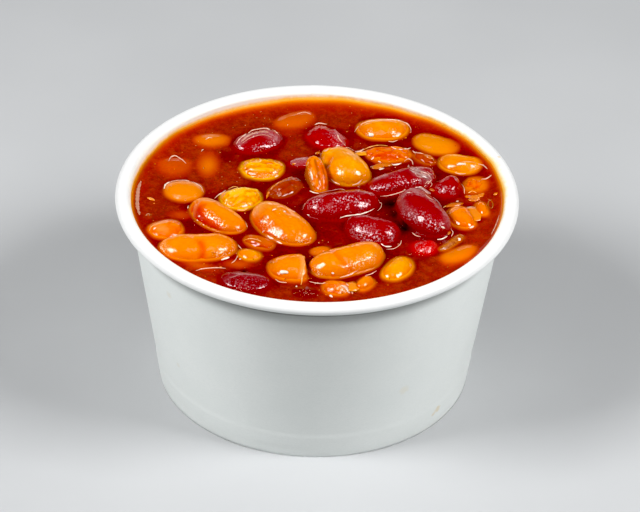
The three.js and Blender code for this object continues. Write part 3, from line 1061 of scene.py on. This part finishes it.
def lay_round_beans(beans, ticks, gx, gy):
    """Grids of the beans' tops and of how high the sauce climbs them, and the covers of the sunk ones."""
    top = np.full(gx.shape, NOWHERE)
    rise = np.zeros(gx.shape)
    covers = []
    for name, bean in beans.items():
        vertices = bean["vertices"]
        low, high = vertices.min(0) - CLIMB_MARGIN, vertices.max(0) + CLIMB_MARGIN
        here = tuple(slice(*np.searchsorted(ticks, (low[k], high[k]))) for k in (0, 1))
        found = top_of(BVHTree.FromPolygons(vertices.tolist(), bean["faces"]), gx[here], gy[here])
        top[here] = np.maximum(top[here], found)
        cover = LOOKS[name].get("cover", 0.0)
        line = water_line(bean)
        if cover:
            covers.append((here, np.where(found > 0, found + cover, NOWHERE)))
        elif len(line):
            away = np.where(found > WATER_LINE, 0.0, distance_in_plan(gx[here], gy[here], line))
            climb = float(np.clip(MENISCUS_SHARE * (vertices[:, 2].max() - SAUCE_LEVEL), *MENISCUS_HEIGHT))
            # Cubed, so that the climbs of two neighbours join and don't add up.
            rise[here] += (climb * np.exp(-away / MENISCUS_REACH)) ** 3
    return top, np.cbrt(rise), covers


def swell_of(ticks, gx, gy):
    """Slow waves over the grid, reckoned at every fourth point."""
    coarse = slice(None, None, 4)
    few_x, few_y = gx[coarse, coarse], gy[coarse, coarse]
    sparse = np.stack([few_x.ravel(), few_y.ravel(), np.zeros(few_x.size)], 1)
    swell = fractal(sparse, 6.5, 2, 4.0).reshape(few_x.shape)
    swell = np.stack([np.interp(ticks, ticks[coarse], row) for row in swell.T], 1)
    return np.stack([np.interp(ticks, ticks[coarse], row) for row in swell], 0)


def sauce_fields(beans):
    """Grids over the sauce: its height, and a dict of the light it lets through from what lies beneath, how
    much of its own colour shows under the painted shade between the beans, how thin it lies, and how far it
    climbs."""
    ticks = np.arange(-GRID_HALF, GRID_HALF + GRID_STEP / 2, GRID_STEP)
    gx, gy = np.meshgrid(ticks, ticks, indexing="ij")
    radius, azimuth = np.hypot(gx, gy), np.arctan2(gy, gx)

    top, rise, covers = lay_round_beans(beans, ticks, gx, gy)
    height = SAUCE_LEVEL + SWELL * swell_of(ticks, gx, gy) + rise
    for here, cover in covers:
        height[here] = smooth_max(height[here], cover, JOIN_REACH)
    shown = np.where(top > SAUCE_LEVEL + SHOWN_FROM, top - UNDER_SKIN, NOWHERE)
    height = smooth_max(height, shown, JOIN_REACH)

    climb = edge_height(azimuth)
    edge = edge_radius(climb)
    table = np.array(EDGES)
    band_width, reach = (np.interp(np.degrees(azimuth) % 360, table[:, 0], table[:, k]) for k in (2, 3))
    edge_away = np.clip(edge - radius, 0, None)
    lift = np.clip(climb - height, 0, None) * np.exp(-edge_away / reach)
    height += lift
    rise += lift
    for pixel, size in HOLLOWS:
        height -= HOLLOW_DEPTH * nearness(gx, gy, pixel, size) * (top < height)

    path, beneath = glow_paths(beans, gx, gy, np.maximum(height, top) + 0.05)
    for pixel, (half_a, half_b), heading, depth, dip in SUNK:
        point = pixel_at_height(pixel, SAUCE_LEVEL)
        c, s = math.cos(math.radians(heading)), math.sin(math.radians(heading))
        u = ((gx - point[0]) * c + (gy - point[1]) * s) / half_a
        v = ((gy - point[1]) * c - (gx - point[0]) * s) / half_b
        inside = np.clip(1 - u * u - v * v, 0, 1)
        ghost = depth + dip * (gy - point[1]) + SUNK_DOME * (1 - np.sqrt(inside))
        ghost = np.where(inside > 0, ghost, FAR)
        beneath = np.where((ghost < path)[..., None], tone_colour(TONES, SUNK_TONE), beneath)
        path = np.minimum(path, ghost)
    depth = np.clip(path, 0.02, FAR)
    haze = np.exp(-depth / HAZE_DEPTH)
    glow = beneath * np.exp(-depth[..., None] * ABSORB)
    amount = blur(haze, GLOW_BLUR)
    glow = np.stack([blur(glow[..., k] * haze, GLOW_BLUR) for k in range(3)], -1)
    away = edge_away / band_width
    side = np.exp(-away)
    through = PAPER_GLOW * np.exp(-(away[..., None] * EDGE_DEEPENS + EDGE_DEPTH) * ABSORB)
    glow = glow * (1 - side[..., None]) + through * side[..., None]
    # Painted shade: the sauce's own colour darkens between crowded beans, at the deep spots and in the
    # hollows.
    standing = (top > SAUCE_LEVEL + CROWD_ABOVE).astype(float)
    crowd = smoothstep(CROWD_FROM, CROWD_TO, blur(standing, CROWD_REACH))
    for pixel, size in DEEP_SPOTS:
        crowd = np.maximum(crowd, DEEP_SHADE * nearness(gx, gy, pixel, size))
    own = ((1 - amount) * (1 - side))[..., None] * (1 - crowd[..., None] * (1 - GAP_TINT))
    for pixel, size in HOLLOWS:
        shade = 1 - HOLLOW_SHADE * nearness(gx, gy, pixel, size)[..., None]
        glow *= shade
        own *= shade
    return ticks, height, {"glow": glow, "own": own, "thin": np.exp(-depth / THIN_DEPTH), "rise": rise}


def sample(ticks, field, x, y):
    """The field at points between the grid's, by the four nearest."""
    u = np.clip((x - ticks[0]) / GRID_STEP, 0, len(ticks) - 1.001)
    v = np.clip((y - ticks[0]) / GRID_STEP, 0, len(ticks) - 1.001)
    i, j = u.astype(int), v.astype(int)
    a, b = u - i, v - j
    if field.ndim == 3:
        a, b = a[:, None], b[:, None]
    return (
        field[i, j] * (1 - a) * (1 - b)
        + field[i + 1, j] * a * (1 - b)
        + field[i, j + 1] * (1 - a) * b
        + field[i + 1, j + 1] * a * b
    )


SAUCE_CELLS = 276
SAUCE_BOTTOM = 7.3
EDGE_OVERLAP = 0.08  # how far the top runs into the paper, so that no gap shows
EDGE_SHARE = 0.985  # of the radius, from where the top's height follows its edge alone
SIDE_LEVELS = [(49.0, 0.1), (47.0, GAP), (30.0, GAP), (SAUCE_BOTTOM, GAP)]  # height, and the gap to the paper


def build_sauce(beans, material):
    """A closed body: the fine top, the side that follows the wall, and the bottom."""
    ticks, height, fields = sauce_fields(beans)
    n = SAUCE_CELLS + 1
    line = np.linspace(-1, 1, n)
    u, v = (g.ravel() for g in np.meshgrid(line, line, indexing="ij"))
    wide = np.abs(u) > np.abs(v)
    reach = np.where(wide, u, v)
    other = np.where(wide, v, u)
    angle = np.where(np.abs(reach) > 1e-9, math.pi / 4 * other / np.where(reach == 0, 1, reach), 0.0)
    azimuth = np.where(wide, angle, math.pi / 2 - angle)
    cx, cy = reach * np.cos(azimuth), reach * np.sin(azimuth)
    share = np.hypot(cx, cy)
    azimuth = np.arctan2(cy, cx)
    climb = edge_height(azimuth)
    radius = share * (edge_radius(climb) + EDGE_OVERLAP)
    x, y = radius * np.cos(azimuth), radius * np.sin(azimuth)
    z = sample(ticks, height, x, y)
    at_edge = smoothstep(EDGE_SHARE, 1.0, share)
    z = z * (1 - at_edge) + climb * at_edge
    vertices = np.stack([x, y, z], 1)
    index = np.arange(n * n).reshape(n, n)
    faces = np.stack([index[:-1, :-1], index[1:, :-1], index[1:, 1:], index[:-1, 1:]], -1).reshape(-1, 4)
    faces = [tuple(f) for f in faces.tolist()]
    ring = [*index[:, 0], *index[-1, 1:], *index[-2::-1, -1], *index[0, -2:0:-1]]
    shares = {key: sample(ticks, field, x, y) for key, field in fields.items()}

    above = np.array(ring)
    around = np.arctan2(vertices[ring, 1], vertices[ring, 0])
    for level, gap in SIDE_LEVELS:
        r = wall_inner(level) - gap
        row = np.stack([r * np.cos(around), r * np.sin(around), np.full(len(ring), level)], 1)
        below = np.arange(len(ring)) + len(vertices)
        vertices = np.concatenate([vertices, row])
        shares = {key: np.concatenate([values, values[ring]]) for key, values in shares.items()}
        for a in range(len(ring)):
            b = (a + 1) % len(ring)
            faces.append((int(above[b]), int(above[a]), int(below[a]), int(below[b])))
        above = below
    faces.append(tuple(int(i) for i in above[::-1]))
    make_object("tomato_sauce", vertices, faces, material, shares, replaces="sauce")
    return vertices, faces


def sauce_material():
    n = Nodes("tomato_sauce")
    broad = n.noise(9, 3, 0.6)
    cloudy = n.noise(2.2, 4, 0.65, distortion=0.4, shift=1.0)
    pulp = n.noise(0.6, 3, 0.7, shift=2.0)
    colour = n.mix(n.ramp(broad, 0.35, 0.7), (0.25, 0.012, 0.002), (0.34, 0.018, 0.003))
    colour = n.mix(n.ramp(cloudy, 0.42, 0.70, 0.0, 0.7), colour, (0.41, 0.046, 0.006))
    colour = n.mix(n.ramp(pulp, 0.50, 0.68, 0.0, 0.75), colour, (0.13, 0.018, 0.003))
    grain = n.noise(0.3, 2, 0.6, shift=3.0)
    colour = n.mix(n.ramp(grain, 0.55, 0.75, 0.0, 0.5), colour, (0.50, 0.075, 0.009))
    colour = n.mix(1.0, colour, n.attribute("own", "Color"), "MULTIPLY")
    colour = n.mix(1.0, colour, n.attribute("glow", "Color"), "ADD")
    fleck = n.ramp(n.cells(2.6, shift=4.0), 0.04, 0.09, 0.7, 0.0)
    colour = n.mix(fleck, colour, (0.62, 0.20, 0.05))
    clustered = n.ramp(n.noise(4.0, 2, 0.5, shift=11.0), 0.45, 0.62)
    pulp_fleck = n.math("MULTIPLY", n.ramp(n.cells(1.25, shift=12.0), 0.07, 0.14, 0.75, 0.0), clustered)
    colour = n.mix(pulp_fleck, colour, (0.50, 0.10, 0.008))
    dark_fleck = n.ramp(n.cells(3.4, shift=15.0), 0.03, 0.06, 0.8, 0.0)
    colour = n.mix(dark_fleck, colour, (0.05, 0.004, 0.001))
    n.set(Base_Color=colour, Roughness=0.3, Specular_IOR_Level=0.05)
    n.set(Coat_Weight=n.ramp(n.attribute("rise"), 0.01, 0.12, 1.0, 0.2), Coat_Roughness=0.08, Coat_IOR=1.40)
    n.set(Subsurface_Weight=0.12, Subsurface_Scale=0.001, Subsurface_Radius=(1.0, 0.25, 0.05))
    bubbles = n.ramp(n.cells(2.6, shift=4.0), 0.0, 0.10, 1.0, 0.0)
    relief = n.bump(n.noise(1.3, 3, 0.55, shift=6.0), 0.03, 0.6)
    skin = n.math("MULTIPLY", n.attribute("thin"), n.noise(0.45, 3, 0.65, shift=7.0))
    relief = n.bump(skin, 0.09, 1.0, relief)
    relief = n.bump(bubbles, 0.12, 0.8, relief)
    n.set(Normal=relief, Coat_Normal=relief)
    return n.material


# ---- loose skin, film and painted glints on top ----

LINE_WIDTH = 0.3
LINE_STEP = 0.2
LINE_SIDES = 6
LINE_UNEVEN = 0.5
LINE_FLAT = 0.8  # how high a strand is against its thickness
LINE_COLOURS = {
    # Near white: painted highlights.
    "glint": (1.0, 0.88, 0.74),
    # Pale: film edges, and painted reflections along the sauce's rise.
    "film": (0.86, 0.56, 0.43),
    "rose": (0.66, 0.30, 0.21),
    "bean": (0.86, 0.42, 0.10),
    "kidney": (0.40, 0.21, 0.20),
    "tan": (0.62, 0.40, 0.33),
    "brown": (0.42, 0.12, 0.015),
    "gold": (0.76, 0.20, 0.012),
}
# Edges of film and skin, and white blobs, a row each: the colour, how thick against LINE_WIDTH, how much
# broader than thick, and the pixels along it. The pale film strands along the sauce's rise round the beans,
# and the rose strand where it rises up the left wall, are partly film edges and partly painted reflections of
# the lamps; the white blobs are painted highlights.
FILM_AND_GLINT_LINES = [
    read_row(row)
    for row in """
film 0.8 1 297,114 304,112.2 311,114.3
film 1.1 1 354.5,132 358,127 364,123 373,120.8 386,119.8 399,120.5 406,123 410.5,128 411,133
film 0.9 1 388,141.2 393,141.8 398,140
glint 2.2 2.4 368.6,134.6 371,135 373.4,134.4
glint 1.5 1.6 392,132.6 394.4,132
film 1.2 1 235.5,147 238,141 244,135.5 250,131.8 258,129.2 268,128.8 275,131 279,135
rose 0.8 1 238,148 243,142.6 250,138 258,135.4 266,135 272,138
film 1.2 1 314.5,125 319,123.3 327,124.4
film 1.2 1 335,129 338,136 341,141 346,146
film 0.9 1 205.5,139.6 209,137.7 212.5,138
film 0.9 1 201.3,151.5 202.6,149.6 204,149.4
film 1.1 1 168.7,161 170.8,157.3 175.6,155.8 182,159.6 186,163.6
glint 1.4 1 164,189 165.6,184.5 170,181.7
film 0.7 1 170,181.7 179,180.3 188,180.8 196,183.5 201,187 204,192.5
film 1.1 1 214.5,198.5 218,195.3 222,193 226,190
bean 0.8 1 228,189 236,186.8 245,187.4
gold 1.0 2.6 266.5,198.5 268.6,192 275,185 284,180 292,176.4
film 0.9 1 330,178 334,182 340,184.6
film 1.1 1 352,185.3 358,183.2 362.6,179
film 0.7 1 330,149.4 337,147 346,147.6 354,150.6
film 0.9 1 404,161.5 408,158.8 412,161 413,165
film 1.0 1 380,196.3 388,195.7 396,193.8 404,190.8 411,188.2
glint 1.4 1 339,218.4 345,216.4 352,215.3 360,214.4 367,212.2 374.5,208.4
film 0.9 1 378,200 381.3,203 380.8,207.4 377,211.2
film 0.8 1 301.4,210 304.5,204.6 309,199.5
kidney 0.7 1 318,193.6 330,190.8 344,189.8 357,190.3 367,192.8 376,197.4
film 1.0 1 411.5,232.3 416,235.6 421,236.6
glint 1.5 1 437,239.6 442,239 447.5,236
glint 1.3 1 381,243.4 386,246.6 392,246.4
film 0.8 1 386,249.2 394,248.6 400,244.4 401.5,240
kidney 0.8 1 225,280.6 234,276.6 244,274.2 256,275 266,278
film 1.0 1 275,279 280,282 287,282.6
film 1.0 1 340,277.6 348,275.4 358,270.6
film 0.9 1 309,281.4 317,283.2 325,282.6
film 0.9 1 365,275.6 371,274 377,270.4
film 1.0 1 196,270.6 203,268.8 211,268 219,267.8 226,268.4
rose 1.4 2.6 141,181 138.6,188 137.4,197 137.4,206 139.6,215
film 0.9 1 499.3,215 497.4,221 494.8,227.5 491,235
brown 0.8 1 487,198.8 490.5,200 493,204 492,208 489,207 488.6,203
film 0.9 1 461.5,184 464,188 464.5,194
film 0.9 1 451,228 453,232 451.5,236.4
film 1.0 1 478,164 483,165.2 487.5,169
film 1.0 1 455,172.6 460,174 466,173.6
film 1.2 1 481,179.4 487,178.4 491.5,175
film 0.8 1 425,184 428.5,181.3 432,184 430,187.2
film 0.8 1 231,263.4 235,260.4 238,255.4
bean 0.9 1 449,212 453,208.6 459,207.2
glint 0.9 1 391,146.8 395,148.6 400,149.4 406,148.8 411,147.6
bean 0.9 1 363,150 370,147 379,145.2 388,145.8
film 1.0 1.3 412.5,150.6 417,152.6 423.5,154
film 0.9 1.6 425,155 428,157.4 432,158.6 434,160.4
glint 1.2 1.3 388.5,163.8 393,164.8 398,164.3 401.5,163
glint 1.1 1.2 379,169.8 384.5,168
glint 1.0 1.2 378,161.2 381.4,162.4
film 0.9 1.5 371,159.6 374,156.6
glint 1.1 1.2 272.2,210.4 276.6,209
glint 1.4 1.6 248.6,173 252,174 256,174.4
glint 1.1 1.3 275,177 278.4,175.4
glint 1.2 2.0 456.6,165 461,163.8 466,164.2
glint 1.0 1.6 470.6,165.4 475,167.2
glint 1.4 2.2 279.6,272.6 284,272 288.4,272.8
glint 1.2 1 283.6,211.8 286,211.2
film 0.8 1 288,208.6 294,211.6 302,216.6
bean 0.9 1.4 289,217.4 299,217.8
glint 1.5 1.3 266.6,215.4 268.6,218.6
glint 1.3 1.2 260.4,222 262.6,220.8
glint 1.2 1 265.6,221.8 267.6,222.8
glint 1.1 1 269.4,224.8 272.2,220.6
glint 1.4 1.2 267.4,235.6 270,237.6 273.6,238.8
glint 1.2 1.1 276.4,241 279,242.4 282,243.8
glint 1.0 1 262,232.4 264.6,230.6
glint 1.2 1 198,216.6 200.2,216
glint 1.0 1 202.4,224.2 204.4,225.4
film 1.2 1 196.6,219.6 198.4,221
glint 1.2 1 187.6,208.4 188.6,205.6
film 1.1 1 245.6,222.6 247.4,227.2
film 1.0 1 237.6,244.6 241.6,249
glint 1.5 1.4 221,260 225,258.6 229.4,257
glint 1.3 1 239.4,259.6 241,258.4
bean 0.8 1 243,240 251,238.6 259,240.4 267,246
bean 1.2 1.6 237.4,209.4 243,210.2 248.6,207.6
glint 1.4 1.5 242.6,207 247.6,205
glint 1.7 1.8 310.4,171 311.4,175 312.4,180
glint 1.3 1.2 309.6,190.8 314,192.6 319,193.4
glint 1.0 1 316.8,187.4 319,189.6
bean 1.0 1.6 304,172 308,162.6 314,155.6
film 1.3 1.2 321,153.4 325,150.8 329,148.6
film 1.2 1.3 355,151.6 360.6,151 364,148.8
kidney 1.1 3.0 408,165.6 414,168.6 422,171.6 430,176.6
kidney 1.1 2.2 409,169.6 417,173 425,177 432,179.4
tan 0.8 1.4 408.6,164.6 411,168.4 416,169.4 419,172
tan 0.7 1.2 412,166 417,168 421,172 427,172.6
tan 0.8 1.2 419,169.4 423,174.6 429,175.4 431,179
tan 0.6 1.0 411,171 415,173 418,176.6 423,177.6
tan 0.7 1.0 427,171.4 431,174.4 435,175.4 436,178.4
tan 0.8 2.2 415,187.6 420,187.2 426,189.4
tan 0.8 2.0 419,190.6 426,191.8 431,196.4
tan 0.7 1.2 425,194.6 430,198.4 434,200
film 0.8 1 410,167.4 418,170.8 427,173.6 434,178.6
film 0.8 1 424,186.6 429,182.6 432,179
kidney 1.0 3.0 417,187.4 424,189.4 431,194
kidney 1.0 2.0 433,197 440,205 446,215
glint 1.1 1 407,192.8 410.4,192.4
glint 1.2 1 306.6,214.4 309.6,215.4
rose 1.0 2.4 241,141.6 248,136 257,132.4 267,132 275,134.6
glint 1.5 1.3 445,228.4 441,226.6
glint 1.4 1.4 331.4,273 334,273.6
glint 1.5 1.3 332.6,297.2 329.4,294.8
film 1.1 2.4 341,285 346,287.6 350,293
film 1.0 2.0 346,283.4 351,288 352.6,294
bean 1.0 1.6 299,255.4 304,256.4 304.6,264 302.6,276 301,285
glint 1.8 1 295.6,286.2 297.4,286.6
glint 1.4 1.2 469.6,228.2 474,226
bean 1.0 1.4 443,207.6 450,204 460,202.6
glint 1.0 1 456,201.4 459,201
bean 0.9 1 468,193.4 472,191 477,193
gold 1.2 4.6 465,196 471,197 478,196.4 484,193
gold 1.0 3.6 468,199.4 474,200.2 480,198.6
film 0.8 1 467,195.6 473,196.6 478,198.6
bean 0.9 1 470,199.6 476,200.4
brown 1.0 1 145,216 148,213.6 152,215.4
brown 0.9 1 487,206.6 489,201 492,199.6
glint 1.2 1.2 153.4,229.6 156,227.4
bean 0.9 1.3 149,231 152,226 159,223.4 168,223
""".strip().splitlines()
]


def smooth_path(points, step):
    """Points at even steps along a smooth curve through the given ones (Catmull-Rom)."""
    p = np.array([2 * points[0] - points[1], *points, 2 * points[-1] - points[-2]])
    fine = []
    for a, b, c, d in zip(p[:-3], p[1:-2], p[2:-1], p[3:]):
        square, cube = 2 * a - 5 * b + 4 * c - d, 3 * b - a - 3 * c + d
        count = max(2, int(np.linalg.norm(c - b) / step) + 1)
        for t in np.linspace(0, 1, count, endpoint=False):
            fine.append(0.5 * (2 * b + (c - a) * t + square * t**2 + cube * t**3))
    fine.append(points[-1])
    return np.array(fine)


def build_film_and_glint_lines(tree, material):
    """Closed strands that lie along the pixels, half sunk in what they lie on."""
    vertices, faces, tints = [], [], []
    turn = np.linspace(0, 2 * math.pi, LINE_SIDES, endpoint=False)
    for kind, thickness, broad, pixels in FILM_AND_GLINT_LINES:
        path = smooth_path(surface_line(tree, pixels), LINE_STEP)
        nearest = [tree.find_nearest(Vector(p)) for p in path]
        path = np.array([hit[0] for hit in nearest])
        up = np.array([hit[1] for hit in nearest])
        for field in (path, up):
            field[1:-1] = (field[:-2] + 2 * field[1:-1] + field[2:]) / 4
        along = np.linspace(-1, 1, len(path))
        uneven = 1 + LINE_UNEVEN * fractal(path, 0.8, 2, thickness)
        radius = LINE_WIDTH / 2 * thickness * uneven * np.sqrt(np.clip(1.02 - along**2, 0.02, 1))
        tangent = np.gradient(path, axis=0)
        tangent /= np.linalg.norm(tangent, axis=1)[:, None]
        side = np.cross(tangent, up)
        side /= np.maximum(np.linalg.norm(side, axis=1), 1e-6)[:, None]
        up = np.cross(side, tangent)
        start = len(vertices)
        for i in range(len(path)):
            across = broad * np.cos(turn)[:, None] * side[i] + LINE_FLAT * np.sin(turn)[:, None] * up[i]
            vertices += list(path[i] + radius[i] * across)
        tints += [LINE_COLOURS[kind]] * (len(path) * LINE_SIDES)
        rings = [range(start + i * LINE_SIDES, start + (i + 1) * LINE_SIDES) for i in range(len(path))]
        for first, second in zip(rings[:-1], rings[1:]):
            faces += band(first, second)
        faces += [tuple(rings[0]), tuple(reversed(rings[-1]))]
    make_object("film_and_glint_lines", np.array(vertices), faces, material, {"tint": np.array(tints)})


# Small pieces that float on the sauce or lie on the beans: pixel, half sizes, heading in plan, and tone.
SCRAPS = [
    ((151, 199), (1.15, 0.45), -32, 0.1),
    ((363, 153.5), (2.6, 1.0), 8, 0.35),
    ((454, 205), (2.4, 0.8), 20, -0.6),
    ((472.5, 214), (3.0, 3.4), 20, 0.0),
    ((377, 167), (2.0, 1.0), 20, -0.4),
    ((384, 165), (2.2, 0.8), 0, -0.5),
    ((148, 215), (0.7, 0.45), 0, -1.2),
    ((496, 194), (0.8, 0.4), 40, -0.1),
    ((428, 157), (1.6, 0.9), -30, -0.6),
    ((294, 164), (0.6, 0.3), 20, -0.2),
    ((272, 262), (0.7, 0.4), 10, -0.8),
    ((432, 190), (0.9, 0.5), -40, -0.9),
    ((449, 233), (0.8, 0.4), 70, -0.5),
    ((213, 252), (0.5, 0.3), 0, 0.0),
    ((350, 287), (3.0, 2.0), 10, 0.1),
    ((318, 153), (0.8, 0.5), 30, -0.4),
]
SCRAP_RINGS, SCRAP_SIDES = 5, 10
SCRAP_HALF = 0.28
CRUMB_HALF = 0.12
CRUMB_COUNT = 90
CRUMB_REACH = 43
CRUMB_SIZES = (0.12, 0.34)
CRUMB_TONES = (-1.4, 0.1)
CRUMB_ABOVE = 0.8  # none lies on a bean higher than this above the sauce
LENS_UNEVEN = 0.25


def lens(centre, half_a, half_b, heading, thick, seed):
    """A small uneven closed lump as points and faces."""
    points = [[0.0, 0.0, 1.0]]
    for i in range(1, SCRAP_RINGS):
        tilt = math.pi * i / SCRAP_RINGS
        for k in range(SCRAP_SIDES):
            a = 2 * math.pi * k / SCRAP_SIDES
            points.append([math.sin(tilt) * math.cos(a), math.sin(tilt) * math.sin(a), math.cos(tilt)])
    points.append([0.0, 0.0, -1.0])
    points = np.array(points)
    points *= (1 + LENS_UNEVEN * fractal(points, 0.9, 2, seed))[:, None]
    points *= [half_a, half_b, thick]
    c, s = math.cos(math.radians(heading)), math.sin(math.radians(heading))
    points = points @ np.array([[c, s, 0], [-s, c, 0], [0, 0, 1]]) + centre
    rings = [range(1 + i * SCRAP_SIDES, 1 + (i + 1) * SCRAP_SIDES) for i in range(SCRAP_RINGS - 1)]
    faces = [(0, a, b) for a, _, _, b in band(rings[0], rings[0])]
    for first, second in zip(rings[:-1], rings[1:]):
        faces += band(first, second)
    faces += [(a, len(points) - 1, b) for a, _, _, b in band(rings[-1], rings[-1])]
    return points, faces


def join_lenses(name, lenses, tints, material):
    vertices, faces, colours = [], [], []
    for (points, shape), tint in zip(lenses, tints):
        faces += [tuple(i + len(vertices) for i in face) for face in shape]
        vertices += list(points)
        colours += [tint] * len(points)
    make_object(name, np.array(vertices), faces, material, {"tint": np.array(colours)})


def build_scraps(tree, material):
    lenses, tints = [], []
    for seed, (pixel, (half_a, half_b), heading, tone) in enumerate(SCRAPS):
        centre = surface_line(tree, [pixel])[0]
        lenses.append(lens(centre, half_a, half_b, heading, SCRAP_HALF, seed))
        tints.append(tone_colour(TONES, tone))
    for seed in range(CRUMB_COUNT):
        a, r = rng.uniform(0, 2 * math.pi), CRUMB_REACH * math.sqrt(rng.uniform(0, 1))
        size = rng.uniform(*CRUMB_SIZES)
        tone = rng.uniform(*CRUMB_TONES)
        hit = tree.ray_cast(Vector((r * math.cos(a), r * math.sin(a), ABOVE_ALL)), DOWN)[0]
        if hit is None or hit.z > SAUCE_LEVEL + CRUMB_ABOVE:
            continue
        lenses.append(lens(np.array(hit), size, size * 0.6, rng.uniform(0, 180), CRUMB_HALF, seed + 50))
        tints.append(tone_colour(TONES, tone))
    join_lenses("bean_scraps", lenses, tints, material)


# Froth and drops: the middle pixel, how far they spread in pixels each way, and how many.
FROTH = [
    ((321, 158), (3.5, 8.0), 26),
    ((330, 168), (1.5, 5.0), 6),
    ((260, 147), (8.0, 3.0), 8),
    ((424, 253), (9.0, 3.5), 10),
    ((366, 236), (10.0, 5.0), 8),
    ((245, 289), (17.0, 7.0), 22),
    ((308, 293), (11.0, 3.0), 18),
    ((201, 222), (5.0, 5.0), 4),
    ((278, 190), (8.0, 6.0), 5),
    ((274, 262), (3.0, 5.0), 5),
    ((322, 283), (9.0, 1.5), 8),
    ((388, 163), (12.0, 4.0), 7),
    ((433, 172), (6.0, 8.0), 7),
    ((348, 290), (6.0, 5.0), 10),
    ((283, 204), (14.0, 10.0), 6),
]
STRAY_DROPS = 50
STRAY_MIDDLE, STRAY_SPREAD = (318, 198), (172, 92)  # pixels
DROP_SIZES = (0.05, 0.12)
DROP_TINT = (0.72, 0.32, 0.22)


def build_froth(tree, material):
    spots = []
    for pixel, spread, count in FROTH:
        for _ in range(count):
            spots.append((pixel[0] + rng.normal(0, spread[0] / 2), pixel[1] + rng.normal(0, spread[1] / 2)))
    for _ in range(STRAY_DROPS):
        a, r = rng.uniform(0, 2 * math.pi), math.sqrt(rng.uniform(0, 1))
        round_it = (math.cos(a), math.sin(a))
        spots.append([m + spread * r * turn for m, spread, turn in zip(STRAY_MIDDLE, STRAY_SPREAD, round_it)])
    lenses = []
    for seed, spot in enumerate(spots):
        size = rng.uniform(*DROP_SIZES)
        length, heading = size * rng.uniform(1, 1.6), rng.uniform(0, 180)
        lenses.append(lens(surface_line(tree, [spot])[0], length, size, heading, size, seed))
    join_lenses("sauce_drops", lenses, [DROP_TINT] * len(lenses), material)


def film_material(name):
    """Wet film with its painted reflections and painted highlights, scraps and drops, in their own tints."""
    n = Nodes(name)
    mottle = n.ramp(n.noise(0.6, 3, 0.6), 0.35, 0.65, 0.0, 0.16)
    colour = n.mix(mottle, n.attribute("tint", "Color"), (0.62, 0.20, 0.07))
    n.set(Base_Color=colour, Roughness=0.2, Coat_Weight=1.0, Coat_Roughness=0.05)
    n.set(Normal=n.bump(n.noise(0.4, 2), 0.03, 0.5))
    return n.material


# ---- light and floor ----

LIGHTS = [  # name, azimuth from the front, elevation, distance in m, size in m, power
    ("left_box", -70, 44, 0.9, (0.33, 0.33), 6.9),
    ("right_box", 70, 44, 0.9, (0.33, 0.33), 6.9),
    ("back_box", 180, 9, 1.2, (2.4, 0.10), 1.6),
    ("top_box", 0, 78, 1.1, (0.3, 0.3), 0.6),
]
LIGHT_AIM = Vector((0, 0, 0.04))
WORLD_STRENGTH = 0.07
BLACK_POINT = 0.016
FLOOR_HALF = 2.5


def add_light(name, azimuth, elevation, distance, size, power):
    data = bpy.data.lights.new(name, "AREA")
    data.shape = "RECTANGLE"
    data.size, data.size_y = size
    data.energy = power
    lamp = bpy.data.objects.new(name, data)
    bpy.context.scene.collection.objects.link(lamp)
    a, e = math.radians(azimuth), math.radians(elevation)
    away = Vector((math.sin(a) * math.cos(e), -math.cos(a) * math.cos(e), math.sin(e)))
    lamp.location = away * distance + LIGHT_AIM
    lamp.rotation_euler = away.to_track_quat("Z", "Y").to_euler()


def add_floor():
    n = Nodes("pale_floor")
    colour = n.mix(n.ramp(n.noise(120, 3, 0.5), 0.3, 0.7), (0.50, 0.51, 0.52), (0.55, 0.56, 0.57))
    n.set(Base_Color=colour, Roughness=0.75)
    n.set(Normal=n.bump(n.noise(2.0, 3, 0.6), 0.05, 0.3))
    mesh = bpy.data.meshes.new("floor")
    h = FLOOR_HALF
    mesh.from_pydata([(-h, -h, 0), (h, -h, 0), (h, h, 0), (-h, h, 0)], [], [(0, 1, 2, 3)])
    mesh.materials.append(n.material)
    floor = bpy.data.objects.new("floor", mesh)
    bpy.context.scene.collection.objects.link(floor)


def add_world():
    world = bpy.data.worlds.new("world")
    world.use_nodes = True
    background = world.node_tree.nodes["Background"]
    background.inputs["Color"].default_value = (0.95, 0.98, 1.0, 1.0)
    background.inputs["Strength"].default_value = WORLD_STRENGTH
    bpy.context.scene.world = world


# ---- the whole ----

add_camera()
add_world()
for light in LIGHTS:
    add_light(*light)
add_floor()
bpy.context.scene.view_settings.view_transform = "Standard"
bpy.context.scene.view_settings.use_curve_mapping = True
bpy.context.scene.view_settings.curve_mapping.black_level = (BLACK_POINT,) * 3

paper = paper_material()
build_wall(paper)
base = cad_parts["bowl_base"]
base.data.materials.clear()
base.data.materials.append(paper)

materials = {
    "white_bean": white_bean_material(),
    "kidney_bean": kidney_bean_material(),
    "bean_skin": strip_material(),
}
beans = {}
for seed, node in enumerate(WHITE + KIDNEY + STRIPS):
    beans[node] = grow_bean(node, seed + 1.0)
for node, bean in beans.items():
    slot = "bean_skin" if node in STRIPS else node.rsplit("_", 1)[0]
    attributes = {key: bean[key] for key in ("tone", "dull", *PAINTS)}
    name = node[:-3] + "_look" + node[-3:]
    make_object(name, bean["vertices"], bean["faces"], materials[slot], attributes, node)

sauce = build_sauce(beans, sauce_material())
surfaces = [sauce, *((bean["vertices"], bean["faces"]) for bean in beans.values())]
everything = join_tree(surfaces)
build_film_and_glint_lines(everything, film_material("pale_film_and_glints"))
build_scraps(everything, film_material("wet_scraps"))
build_froth(everything, film_material("small_drops"))
